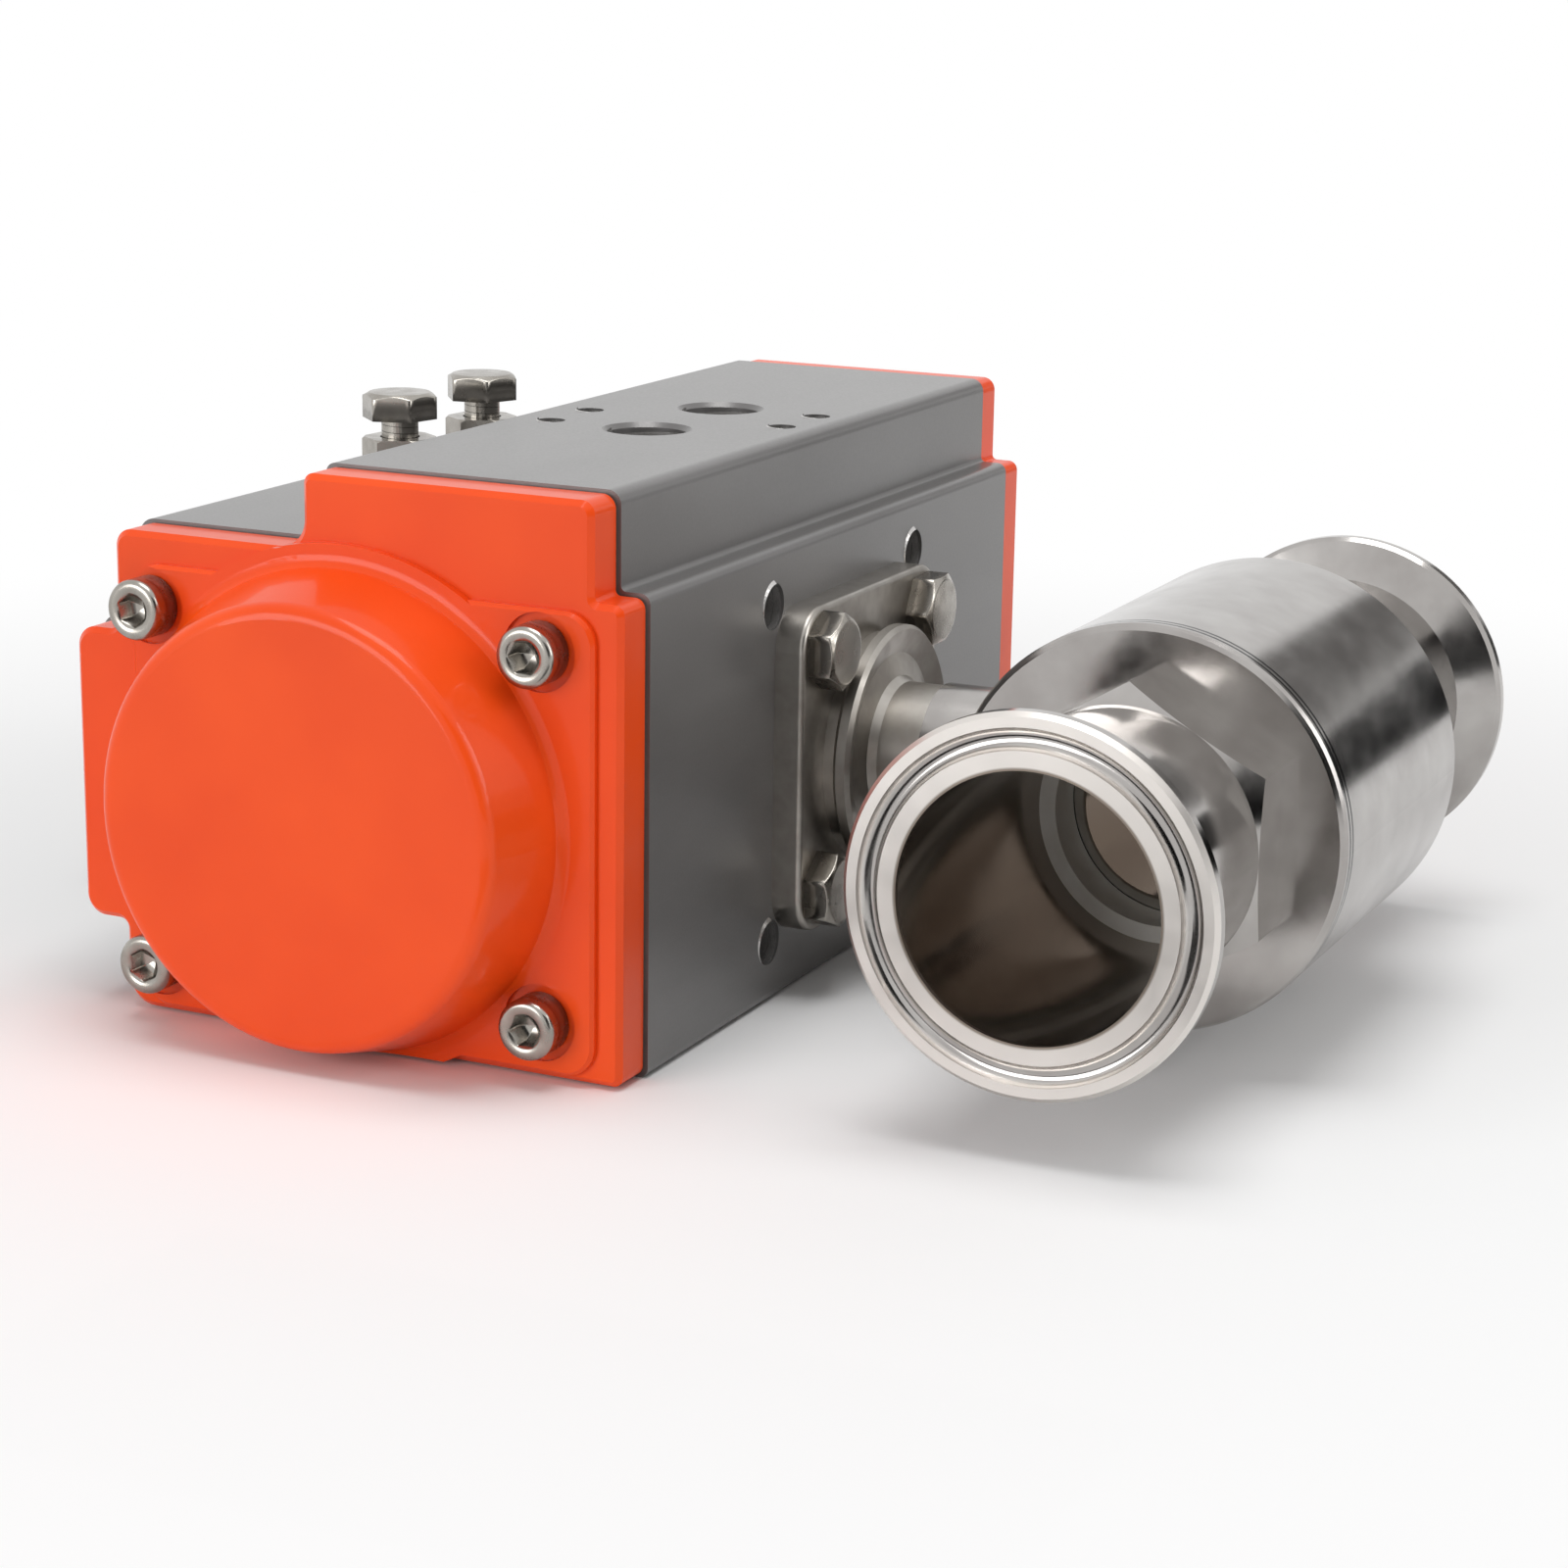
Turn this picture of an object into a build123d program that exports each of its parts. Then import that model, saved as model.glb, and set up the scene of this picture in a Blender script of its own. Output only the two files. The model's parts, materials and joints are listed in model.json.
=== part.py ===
from build123d import *
from math import acos, atan2, cos, degrees, pi, radians, sin, sqrt, tan
import os

# Pneumatic quarter-turn ball valve: a sanitary clamp-end ball valve with a twin-piston
# rack-and-pinion actuator bolted to it, lying on its side with the air ports upwards.
# Millimetres.  Y is the flow axis and X the stem axis; they cross at the ball's centre,
# which is the origin.  The actuator is on the -X side and its air ports face +Z.
# The valve is modelled open, with both pistons at their outer ends.

# ---- Fits and clearances ----
running_gap = 0.05        # radial gap of a shaft in its bush
piston_gap = 0.1          # radial gap of a piston, ring or guide in the bore
moving_gap = 0.3          # gap between faces that move past each other without touching
loose_gap = 0.2           # gap of a part that is only dropped into its place
hole_gap = 0.25           # radial gap of a bolt in a clearance hole
thread_gap = 0.05         # radial gap of a screw in its tapped hole
sink = 0.5                # how far a joined form starts inside its neighbour
pick_range = 0.01         # edges this close to a plane count as lying on it

# ---- Valve ----
face_to_face = 140.0      # between the two clamp faces
tube_inside = 35.6        # bore of the 38 mm tube ends
tube_outside = 38.0
ferrule_diameter = 50.5
ferrule_edge = 2.85       # thickness of the flange at its rim
ferrule_round = 0.6
rim_round = 0.9           # rounding of the cylinder's two rims
rim_facet = 0.3           # part of that rounding taken up by its first facet
ferrule_back_angle = 20.0
groove_diameter = 43.6    # middle of the gasket groove
groove_radius = 1.5
groove_depth = 1.2
body_front = 25.4         # the screwed end meets the body this far before the ball's centre
body_back = 28.5          # the cylinder ends this far behind the ball's centre
body_wall = 4.5           # round the screwed end's spigot
back_cone_length = 9.0    # from the back of the cylinder to the far neck
back_cone_foot = 3.4      # the cone's foot stands this far outside the tube
back_slope = 2.6          # fall of the back face from its rim to the cone's foot
ball_diameter = 40.0
ball_bore = 25.0
slot_depth = 4.6
slot_width = 6.6
slot_length = 22.0
ball_room = 0.5           # between the ball and the wall of the cavity's seats
seat_inside = 30.8
seat_width = 7.4
spigot_wall = 3.5         # round the near seat
spigot_length = 11.8
seal_ring_width = 1.0
hex_across_flats = 38.4
hex_length = 8.6
hex_chamfer = 1.4
hex_turn = 30.5           # angle of the hexagon round the flow axis
shoulder_length = 1.8     # round flange between the hexagon and the body

# ---- Stem, packing and mounting pad ----
mounting_distance = 57.0  # from the ball's centre to the actuator's mounting face
stem_diameter = 12.0
stem_square = 9.0
stem_reach = 13.0         # how far the stem enters the actuator
square_setback = 1.0      # round shank left between the stem nut and the square
tongue_length = 13.0
collar_diameter = 16.0
collar_thickness = 2.2
thrust_ring_thickness = 1.0
collar_land = 2.3         # wall between the collar's seat and the packing chamber
chamber_diameter = 16.6   # packing chamber
packing_ring_height = 2.4
packing_ring_count = 3
packing_ring_gap = 0.1
packing_vee = 0.7
gland_height = 3.0
disc_spring_height = 0.9
disc_spring_steel = 0.5
disc_spring_count = 2
stem_nut_height = 4.0
stem_nut_flats = 14.0
body_neck_diameter = 21.0
foot_height = 3.5         # blend from the body's neck into its cylinder
foot_drop = 1.2
foot_flare = 4.0
foot_spread = 6.0
pad_neck_diameter = 20.0
neck_joint = 40.7         # the pad's neck meets the body's neck here
pad_size = 48.0
pad_thickness = 4.5
pad_corner = 6.0
pad_round = 0.8
pad_disc_diameter = 36.6
pad_disc_thickness = 4.6
disc_undercut = 1.4       # waist between the pad and its disc
disc_waist_end = 1.6
disc_flank_start = 2.6
disc_round = 0.6
dish_depth = 1.2          # dished front of the disc
dish_rim = 4.2
dish_root = 0.8
pad_pcd = 50.0
pad_bolt = 6.0
pad_bolt_grip = 12.0

# ---- Actuator body ----
body_length = 124.6
bore_diameter = 63.0
bore_offset = 43.0        # from the mounting face to the cylinder's axis
body_depth = 88.0         # from the mounting face to the indicator face
flank_top = 33.0
body_bottom = -34.0
port_face = 46.4
port_step = 4.4           # the port face starts this far behind the mounting face
port_face_end = 49.9
shoulder_height = 36.0
shoulder_end = 81.0
top_pad_half = 21.6
section_rounds = (1.5, 1.5, 0.8, 2.0, 1.5, 4.0, 2.5, 1.5, 3.0, 3.0, 1.5, 4.0)
spare_pcd = 70.0
spare_thread_minor = 6.8
spare_hole_depth = 10.5
spigot_recess = 35.0
spigot_recess_depth = 2.0
port_spacing = 24.0
port_offset = 26.5        # from the mounting face to the two air ports
port_shift = -0.9         # the ports' middle lies this far from the stem's axis
port_minor = 11.8
port_depth = 12.0
port_chamfer = 0.7
port_screw_minor = 4.2
port_screw_depth = 8.0
port_screw_rows = 16.0
port_screw_spacing = 12.0
gallery_diameter = 4.0
gallery_link = 3.2
gallery_wall = 0.9        # between a port and the air gallery
air_slot_depth = 1.5      # slot from the gallery to the end of the cylinder
air_slot_inset = 3.0      # the slot starts this far inside the cylinder's wall
top_screw_length = 80.0
top_screw_width = 30.0
top_screw_depth = 8.0

# ---- End caps ----
cap_inset = 0.5
cap_plate = 6.5
cap_boss = 1.2
cap_boss_inset = 3.6
cap_boss_top = 1.2        # margins of the boss at the top and the bottom
cap_boss_bottom = 1.0
cap_boss_round = 4.5
cap_boss_edge = 0.5
cap_edge = 0.8
cap_screw = 5.0
cap_screw_head = 8.5
cap_screw_socket = 4.0
cap_screw_reach = 13.0
screw_end_room = 1.0      # tapped depth left beyond a cap screw
screw_edge = 0.5
cap_screw_span_x = 61.6
cap_screw_span_z = 51.0
spot_face_diameter = 10.8
spot_face_depth = 0.7
dome_base_diameter = 68.0
dome_face_diameter = 59.0
dome_height = 13.0
dome_wall = 3.4
dome_rim_round = 2.2
dome_root_round = 2.4
dome_root_height = 3.0
dome_root_sink = 0.3
spring_space_lip = 1.0
spring_space_draft = 0.8
gasket_thickness = 0.5
gasket_lip = 0.5          # gasket that shows inside the cylinder's edge

# ---- Pinion, racks and pistons ----
tooth_module = 1.5
tooth_count = 18
pressure_angle = 20.0
dedendum = 1.25           # depth below the pitch line, in modules
backlash = 0.16
pinion_face = 26.0
rack_face = 24.0
tooth_root_sink = 0.4
gear_shoulder = 1.5
lower_journal = 31.0
journal_setback = 0.4     # the journal's end lies this far inside the mounting face
lower_bush_wall = 1.5
upper_journal = 18.0
upper_bush_wall = 1.5
bush_setback = 0.5
cam_shoulder = 3.0
ring_groove = 1.9
ring_groove_width = 2.2
lower_ring_depth = 6.5    # of the o-ring grooves behind the two faces
upper_ring_depth = 7.0
socket_square = 14.0
socket_depth = 16.0
adapter_end_gap = 1.0
adapter_chamfer = 1.0
pinion_top = 20.0         # height of the shaft end above the indicator face
pinion_top_diameter = 14.0
pinion_top_flats = 11.0
shaft_tapping = 14.0      # depth of the screw hole in the shaft's end
shaft_screw = 5.0
circlip_thickness = 1.2
circlip_wall = 2.4
circlip_groove = 0.8
circlip_opening = 4.0
circlip_land = 1.0
top_washer_thickness = 1.5
top_washer_width = 4.0
piston_thickness = 11.5
piston_end_gap = 0.8      # between a piston and its cap when the valve is open
rack_overhang = 6.7       # the rack runs this far past the pinion's axis
arm_half_width = 18.0
rack_sink = 0.5
arm_gap = 0.7
guide_thickness = 1.5
guide_half_width = 9.0
guide_length = 14.0
guide_setback = 2.0       # from the end of the rack to its guide
ring_section = 2.6
band_width = 3.0
band_thickness = 1.5
band_split = 1.0
band_setback = 1.2
seal_setback = 3.2

# ---- Stop cam and stop bolts ----
cam_radius = 14.0
cam_thickness = 5.0
cam_offset = 67.5         # from the mounting face to the middle of the cam
cam_flat = 4.3
cam_hub = 1.8             # wall of the cam round its shaft
stop_bolt_spacing = 24.5
stop_bolt_offset = 69.0
stop_bolt = 6.0
stop_head_lift = 2.8      # thread that shows between a lock nut and its bolt's head
stop_tip_diameter = 4.0
stop_tip_length = 3.0
stop_head_turn = 12.0     # angles of the hexagons as tightened
stop_nut_turn = 25.0
hex_m6_flats = 10.0
hex_m6_head = 4.0
head_chamfer = 0.4
nut_m6_height = 4.8
seal_washer_thickness = 1.0

# ---- Position indicator ----
indicator_diameter = 37.0
indicator_lift = 5.0
indicator_wall = 2.5
indicator_roof = 3.0
indicator_web = 1.0
indicator_edge = 1.5
pointer_height = 4.0
pointer_width = 9.0
pointer_inset = 2.0
indicator_head = 10.0
indicator_head_height = 3.4
indicator_key = 4.0
indicator_key_depth = 2.0
indicator_hole = 6.4
indicator_head_recess = 11.0
indicator_screw_length = 12.0

# ---- Derived sizes and places ----
seat_outside = ball_diameter + 2 * ball_room
seat_face = ball_diameter / 2       # the seats' outer faces lie level with the ball's ends
spigot_diameter = seat_outside + 2 * spigot_wall
body_diameter = spigot_diameter + 2 * body_wall
mount_x = -mounting_distance
bore_x = mount_x - bore_offset
top_x = mount_x - body_depth
bore_r = bore_diameter / 2
half_body = body_length / 2
cap_seat_y = half_body + gasket_thickness
plate_y = cap_seat_y + cap_plate
boss_y = plate_y + cap_boss
dome_y = boss_y + dome_height
screw_seat_y = boss_y - spot_face_depth
pitch_r = tooth_module * tooth_count / 2
tip_r = pitch_r + tooth_module
root_r = pitch_r - dedendum * tooth_module
tooth_pitch = pi * tooth_module
stroke = pitch_r * pi / 2
piston_outer_y = cap_seat_y - piston_end_gap
piston_inner_y = piston_outer_y - piston_thickness
piston_r = bore_r - piston_gap
half_face = face_to_face / 2
bore_floor_x = bore_x + bore_r      # the cylinder's wall nearest to the valve
bore_roof_x = bore_x - bore_r       # the cylinder's wall nearest to the indicator
cam_x = mount_x - cam_offset
stop_x = mount_x - stop_bolt_offset
journal_bottom_x = mount_x - journal_setback
lower_ring_x = mount_x - lower_ring_depth
upper_ring_x = top_x + upper_ring_depth
circlip_x = top_x - top_washer_thickness - running_gap
shaft_shoulder_x = circlip_x - circlip_thickness - circlip_land
stop_tip_z = cam_flat + moving_gap
stop_nut_z = shoulder_height + seal_washer_thickness
stop_head_z = stop_nut_z + nut_m6_height + stop_head_lift


def x_plane(x):
    """Plane across the X axis: its own x runs along Y and its own y along Z."""
    return Plane(origin=(x, 0, 0), x_dir=(0, 1, 0), z_dir=(1, 0, 0))


def y_plane(y):
    """Plane across the Y axis: its own x runs along X and its own y along Z."""
    return Plane(origin=(0, y, 0), x_dir=(1, 0, 0), z_dir=(0, -1, 0))


def along_x(sketch, start, end):
    """Extrude a (y, z) sketch between two places on the X axis."""
    return extrude(x_plane(min(start, end)) * sketch, abs(end - start))


def along_y(sketch, start, end):
    """Extrude an (x, z) sketch between two places on the Y axis."""
    return extrude(y_plane(max(start, end)) * sketch, abs(end - start))


def along_z(sketch, start, end):
    """Extrude an (x, y) sketch between two heights."""
    return extrude(Plane.XY.offset(min(start, end)) * sketch, abs(end - start))


def at_each(places, sketch):
    """Copies of a sketch at several places."""
    return Sketch() + [place * sketch for place in places]


def x_rod(diameter, start, end, y=0.0, z=0.0):
    """Round rod along X."""
    return along_x(Pos(y, z) * Circle(diameter / 2), start, end)


def y_rod(diameter, start, end, x=0.0, z=0.0):
    """Round rod along Y."""
    return along_y(Pos(x, z) * Circle(diameter / 2), start, end)


def z_rod(diameter, start, end, x=0.0, y=0.0):
    """Round rod along Z."""
    return along_z(Pos(x, y) * Circle(diameter / 2), start, end)


def x_ring(outside, inside, start, end):
    """Ring round the stem's axis."""
    return along_x(Circle(outside / 2) - Circle(inside / 2), start, end)


def turned_on_y(points, x=0.0):
    """Solid of revolution round the Y direction from (radius, y) points."""
    profile = Polygon(*points, align=None)
    return Pos(x, 0, 0) * revolve(Plane.XY * profile, Axis.Y)


def turned_on_x(points):
    """Solid of revolution round the stem's axis from (x, radius) points."""
    profile = Polygon(*points, align=None)
    return revolve(Plane.XY * profile, Axis.X)


def hexagon(flats, turn=0.0):
    """Hexagon with the given width across its flats."""
    return Rot(0, 0, turn) * RegularPolygon(flats / 2, 6, major_radius=False)


def mirror_far(shape):
    """Copy of a near-end piece at the far end."""
    return mirror(shape, Plane.XZ)


# ---- Valve ----

def ferrule_profile(inner_radius):
    """(radius, distance) points of a clamp ferrule, outer face at half the face-to-face."""
    flange_r = ferrule_diameter / 2
    tube_r = tube_outside / 2
    slope = (flange_r - tube_r) * tan(radians(ferrule_back_angle))
    back = half_face - ferrule_edge - slope
    inner_y = half_face - ferrule_edge
    return [(inner_radius, half_face), (flange_r - ferrule_round, half_face),
            (flange_r, half_face - ferrule_round), (flange_r, inner_y + ferrule_round),
            (flange_r - ferrule_round, inner_y), (tube_r, back)]


def gasket_groove():
    """Half-round gasket groove in the face of the far ferrule."""
    centre_y = half_face + groove_radius - groove_depth
    section = Plane.XY * Pos(groove_diameter / 2, centre_y) * Circle(groove_radius)
    return revolve(section, Axis.Y)


def screwed_end():
    """Near end piece: ferrule, tube, hexagon for the wrench, round flange and spigot."""
    bore = tube_inside / 2
    body_r = body_diameter / 2
    spigot_r = spigot_diameter / 2
    spigot_end = body_front - spigot_length
    hex_end = body_front + shoulder_length
    hex_start = hex_end + hex_length
    hex_r = hex_across_flats / sqrt(3)
    face_r = hex_across_flats / 2
    points = ferrule_profile(bore)
    points += [(tube_outside / 2, hex_end), (body_r - rim_round, hex_end),
               (body_r - rim_facet, hex_end - rim_facet), (body_r, hex_end - rim_round),
               (body_r, body_front), (spigot_r, body_front), (spigot_r, spigot_end),
               (seat_outside / 2, spigot_end), (seat_outside / 2, seat_face), (bore, seat_face)]
    turned = turned_on_y(points)
    prism = along_y(hexagon(hex_across_flats, hex_turn), hex_end, hex_start)
    prism &= turned_on_y([(0, hex_end), (hex_r + 1, hex_end), (hex_r + 1, hex_start - hex_chamfer),
                          (hex_r, hex_start - hex_chamfer), (face_r, hex_start), (0, hex_start)])
    prism -= y_rod(tube_inside, hex_end - 1, hex_start + 1)
    return mirror_far(turned + prism - gasket_groove())


def valve_body():
    """Cast body with the far clamp end, the ball's cavity and the packing neck."""
    bore = tube_inside / 2
    body_r = body_diameter / 2
    cavity_r = seat_outside / 2 + loose_gap
    spigot_r = spigot_diameter / 2 + loose_gap
    spigot_end = -body_front + spigot_length
    cone_end = body_back + back_cone_length
    points = ferrule_profile(bore)
    points += [(tube_outside / 2, cone_end),
               (tube_outside / 2 + back_cone_foot, body_back + back_slope),
               (body_r - rim_round, body_back), (body_r, body_back - rim_round),
               (body_r, -body_front), (spigot_r, -body_front),
               (spigot_r, spigot_end + seal_ring_width), (cavity_r, spigot_end + seal_ring_width),
               (cavity_r, seat_face), (bore, seat_face)]
    shell = turned_on_y(points) - gasket_groove()
    neck_r = body_neck_diameter / 2
    neck_start = -sqrt(body_r ** 2 - neck_r ** 2) + 2 * sink
    neck = x_rod(body_neck_diameter, -neck_joint, neck_start)
    foot = turned_on_x([(neck_start, 0), (-body_r - foot_height, 0), (-body_r - foot_height, neck_r),
                        (-body_r + foot_drop, neck_r + foot_flare), (neck_start, neck_r + foot_spread)])
    cavity = y_rod(2 * cavity_r, spigot_end, seat_face)
    body = shell + neck + (foot - cavity) - (cavity & x_rod(body_neck_diameter, -body_r, 0))
    collar_pocket = x_rod(collar_diameter + 2 * loose_gap, collar_seat_x, 0)
    stem_hole = x_rod(stem_diameter + 2 * running_gap, -neck_joint, 0)
    chamber = x_rod(chamber_diameter, -neck_joint, chamber_x)
    return body - collar_pocket - stem_hole - chamber


# Places along the stem, from the ball outwards.
collar_bottom_x = -ball_diameter / 2 - ball_room
collar_top_x = collar_bottom_x - collar_thickness
collar_seat_x = collar_top_x - thrust_ring_thickness
chamber_x = collar_seat_x - collar_land
packing_top_x = chamber_x - packing_ring_height * packing_ring_count
gland_top_x = packing_top_x - gland_height
springs_top_x = gland_top_x - disc_spring_height * disc_spring_count
nut_top_x = springs_top_x - stem_nut_height
square_x = nut_top_x - square_setback
stem_top_x = mount_x - stem_reach


def ball():
    """Ball with its flow bore and the slot that the stem's tongue turns."""
    sphere = Sphere(ball_diameter / 2)
    bore = y_rod(ball_bore, -ball_diameter, ball_diameter)
    slot = along_x(Rectangle(slot_width, slot_length), -ball_diameter, slot_depth - ball_diameter / 2)
    return sphere - bore - slot


def seat():
    """Far seat ring, hollowed to the ball's radius."""
    ring = turned_on_y([(seat_inside / 2, seat_face), (seat_outside / 2, seat_face),
                        (seat_outside / 2, seat_face - seat_width),
                        (seat_inside / 2, seat_face - seat_width)])
    return ring - Sphere(ball_diameter / 2 + running_gap * 2)


def body_seal():
    """Flat seal between the screwed end's spigot and the body."""
    start = -body_front + spigot_length
    profile = Circle(spigot_diameter / 2) - Circle(seat_outside / 2 + loose_gap)
    return along_y(profile, start, start + seal_ring_width)


def stem():
    """Blow-out-proof stem: tongue in the ball, collar, round shank and drive square."""
    tongue_bottom = slot_depth - ball_diameter / 2 - loose_gap
    tongue = Rectangle(slot_width - 2 * running_gap, tongue_length)
    tongue = along_x(tongue, collar_bottom_x, tongue_bottom)
    collar = x_rod(collar_diameter, collar_bottom_x, collar_top_x)
    shank = x_rod(stem_diameter, collar_top_x, square_x)
    square = along_x(Rectangle(stem_square, stem_square), stem_top_x, square_x)
    square &= x_rod(stem_diameter, stem_top_x, square_x)
    collar_round = x_rod(collar_diameter, tongue_bottom, collar_bottom_x)
    return (tongue & collar_round) + collar + shank + square


def stem_packing():
    """Stack of packing rings in the neck, each with a vee top."""
    rings = []
    for index in range(packing_ring_count):
        start = chamber_x - index * packing_ring_height
        end = start - packing_ring_height + packing_ring_gap
        middle = (chamber_diameter + stem_diameter) / 4
        inside = stem_diameter / 2 + running_gap
        outside = chamber_diameter / 2 - running_gap
        ring = turned_on_x([(start, inside), (start, outside), (end, outside),
                            (end + packing_vee, middle), (end, inside)])
        rings.append(ring)
    return Compound(children=rings)


def disc_springs():
    """Two cupped springs, back to back, under the stem nut."""
    springs = []
    inside = stem_diameter / 2 + running_gap
    outside = chamber_diameter / 2 - hole_gap
    for index in range(disc_spring_count):
        start = gland_top_x - index * disc_spring_height
        end = start - disc_spring_height
        raised = end + disc_spring_steel
        inner = start if index % 2 else raised
        outer = raised if index % 2 else start
        springs.append(turned_on_x([(inner, inside), (outer, outside),
                                    (outer - disc_spring_steel, outside),
                                    (inner - disc_spring_steel, inside)]))
    return Compound(children=springs)


def mounting_pad():
    """Square actuator pad with a round dished flange and a neck on the body."""
    plate = Rectangle(pad_size, pad_size)
    plate = fillet(plate.vertices(), pad_corner)
    plate -= at_each(pad_bolt_places(pad_pcd), Circle(pad_bolt / 2 + hole_gap))
    pad_front = mount_x + pad_thickness
    disc_front = pad_front + pad_disc_thickness
    disc_r = pad_disc_diameter / 2
    neck_r = pad_neck_diameter / 2
    solid = along_x(plate, mount_x, pad_front)
    waist_r = disc_r - disc_undercut
    solid += turned_on_x([(pad_front, 0), (pad_front, waist_r), (pad_front + disc_waist_end, waist_r),
                          (pad_front + disc_flank_start, disc_r), (disc_front - disc_round, disc_r),
                          (disc_front, disc_r - disc_round), (disc_front - dish_depth, disc_r - dish_rim),
                          (disc_front - dish_depth / 3, neck_r + dish_root),
                          (disc_front + dish_root, neck_r), (-neck_joint, neck_r), (-neck_joint, 0)])
    solid = fillet_front_edges(solid, pad_front)
    spigot = x_ring(spigot_recess - 2 * loose_gap, lower_journal + 2 * moving_gap,
                    mount_x - spigot_recess_depth + loose_gap, mount_x)
    return solid - x_rod(chamber_diameter, mount_x, 0) + spigot


def fillet_front_edges(solid, x):
    """Round the outer edges of the pad's plate on its valve side."""
    edges = [edge for edge in solid.edges().filter_by_position(Axis.X, x - pick_range, x + pick_range)
             if max(abs(edge.center().Y), abs(edge.center().Z)) > pad_size / 2 - pad_corner]
    return fillet(edges, pad_round)


def pad_bolt_places(pcd):
    """Four places on a bolt circle, on the square's corners."""
    return PolarLocations(pcd / 2, 4, start_angle=45)


def hex_head(flats, height):
    """Hexagonal head standing on its own XY plane, with a chamfered top."""
    head = extrude(hexagon(flats), height)
    top_r = flats / sqrt(3) - head_chamfer
    cone = Cone(top_r + height, top_r, height, align=(Align.CENTER, Align.CENTER, Align.MIN))
    return head & cone


def bolt_x(place, seat, reach):
    """Hexagon-head bolt along -X with its head on the seat."""
    shank = along_x(place * Circle(pad_bolt / 2 - thread_gap), seat - reach, seat)
    head = x_plane(seat) * place * hex_head(hex_m6_flats, hex_m6_head)
    return shank + head


def pad_bolts():
    """Four bolts that hold the valve's pad to the actuator."""
    return Compound(children=[bolt_x(place, mount_x + pad_thickness, pad_bolt_grip)
                              for place in pad_bolt_places(pad_pcd)])


# ---- Actuator body and caps ----

def rounded(points, radii):
    """Polygon with its own radius at each corner; a radius of 0 leaves the corner sharp."""
    face = Polygon(*points, align=None)
    for (x, z), radius in zip(points, radii):
        if radius > 0:
            corner = face.vertices().sort_by_distance((x, z, 0))[0]
            face = fillet(corner, radius)
    return face


def actuator_outline(inset):
    """Section of the extruded body, moved inwards by an inset."""
    right = mount_x - inset
    flank = flank_top - inset
    step = mount_x - port_step - inset
    port = port_face - inset
    port_end = mount_x - port_face_end + inset
    shoulder = shoulder_height - inset
    left = mount_x - shoulder_end + inset
    pad = top_pad_half - inset
    top = top_x + inset
    bottom = body_bottom + inset
    points = [(right, bottom), (right, flank), (step, flank), (step, port), (port_end, port),
              (port_end, shoulder), (left, shoulder), (left, pad), (top, pad), (top, -pad),
              (left, -pad), (left, bottom)]
    return rounded(points, section_rounds)


def cap_screw_places():
    """The four cap screws, in the plane across the cylinder."""
    return Pos(bore_x, 0) * GridLocations(cap_screw_span_x, cap_screw_span_z, 2, 2)


def air_slot():
    """Slot in each cap from the air gallery to the space behind the piston."""
    reach = sqrt((gallery_x - bore_x) ** 2 + gallery_z ** 2)
    angle = degrees(atan2(gallery_z, gallery_x - bore_x))
    start = bore_r - air_slot_inset
    length = reach - start
    bar = Pos(start + length / 2, 0) * Rectangle(length, gallery_diameter)
    return Pos(bore_x, 0) * (Rot(0, 0, angle) * (bar + Pos(reach, 0) * Circle(gallery_diameter / 2)))


port_x = mount_x - port_offset
near_port_y = port_shift - port_spacing / 2
far_port_y = port_shift + port_spacing / 2
gallery_x = port_x + port_minor / 2 + gallery_diameter / 2 + gallery_wall
gallery_z = flank_top


def port_screw_places():
    """The four solenoid screws, two on each side of the ports and staggered."""
    near_pair = port_shift - port_screw_spacing
    return [(port_x - port_screw_rows, near_pair), (port_x - port_screw_rows, port_shift),
            (port_x + port_screw_rows, port_shift),
            (port_x + port_screw_rows, port_shift + port_screw_spacing)]


def actuator_body():
    """Extruded aluminium body with its bores, ports and threaded holes."""
    body = along_y(actuator_outline(0), -half_body, half_body)
    body -= y_rod(bore_diameter, -half_body, half_body, x=bore_x)
    body -= x_rod(lower_journal + 2 * lower_bush_wall, bore_x, mount_x)
    body -= x_rod(spigot_recess, mount_x - spigot_recess_depth, mount_x)
    body -= x_rod(upper_journal + 2 * upper_bush_wall, top_x, bore_x)
    body -= mounting_holes()
    body -= air_holes()
    body -= stop_holes()
    for place in cap_screw_places():
        for end in (-half_body, half_body):
            inner = end - cap_screw_reach if end > 0 else end + cap_screw_reach
            body -= along_y(place * Circle(cap_screw / 2), inner, end)
    return body


def mounting_holes():
    """Threaded holes round the stem on the valve side and on the indicator side."""
    spare = at_each(pad_bolt_places(spare_pcd), Circle(spare_thread_minor / 2))
    used = at_each(pad_bolt_places(pad_pcd), Circle(pad_bolt / 2))
    top = at_each(GridLocations(top_screw_length, top_screw_width, 2, 2), Circle(port_screw_minor / 2))
    holes = along_x(spare, mount_x - spare_hole_depth, mount_x)
    holes += along_x(used, mount_x - pad_bolt_grip + pad_thickness, mount_x)
    return holes + along_x(top, top_x, top_x + top_screw_depth)


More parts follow.
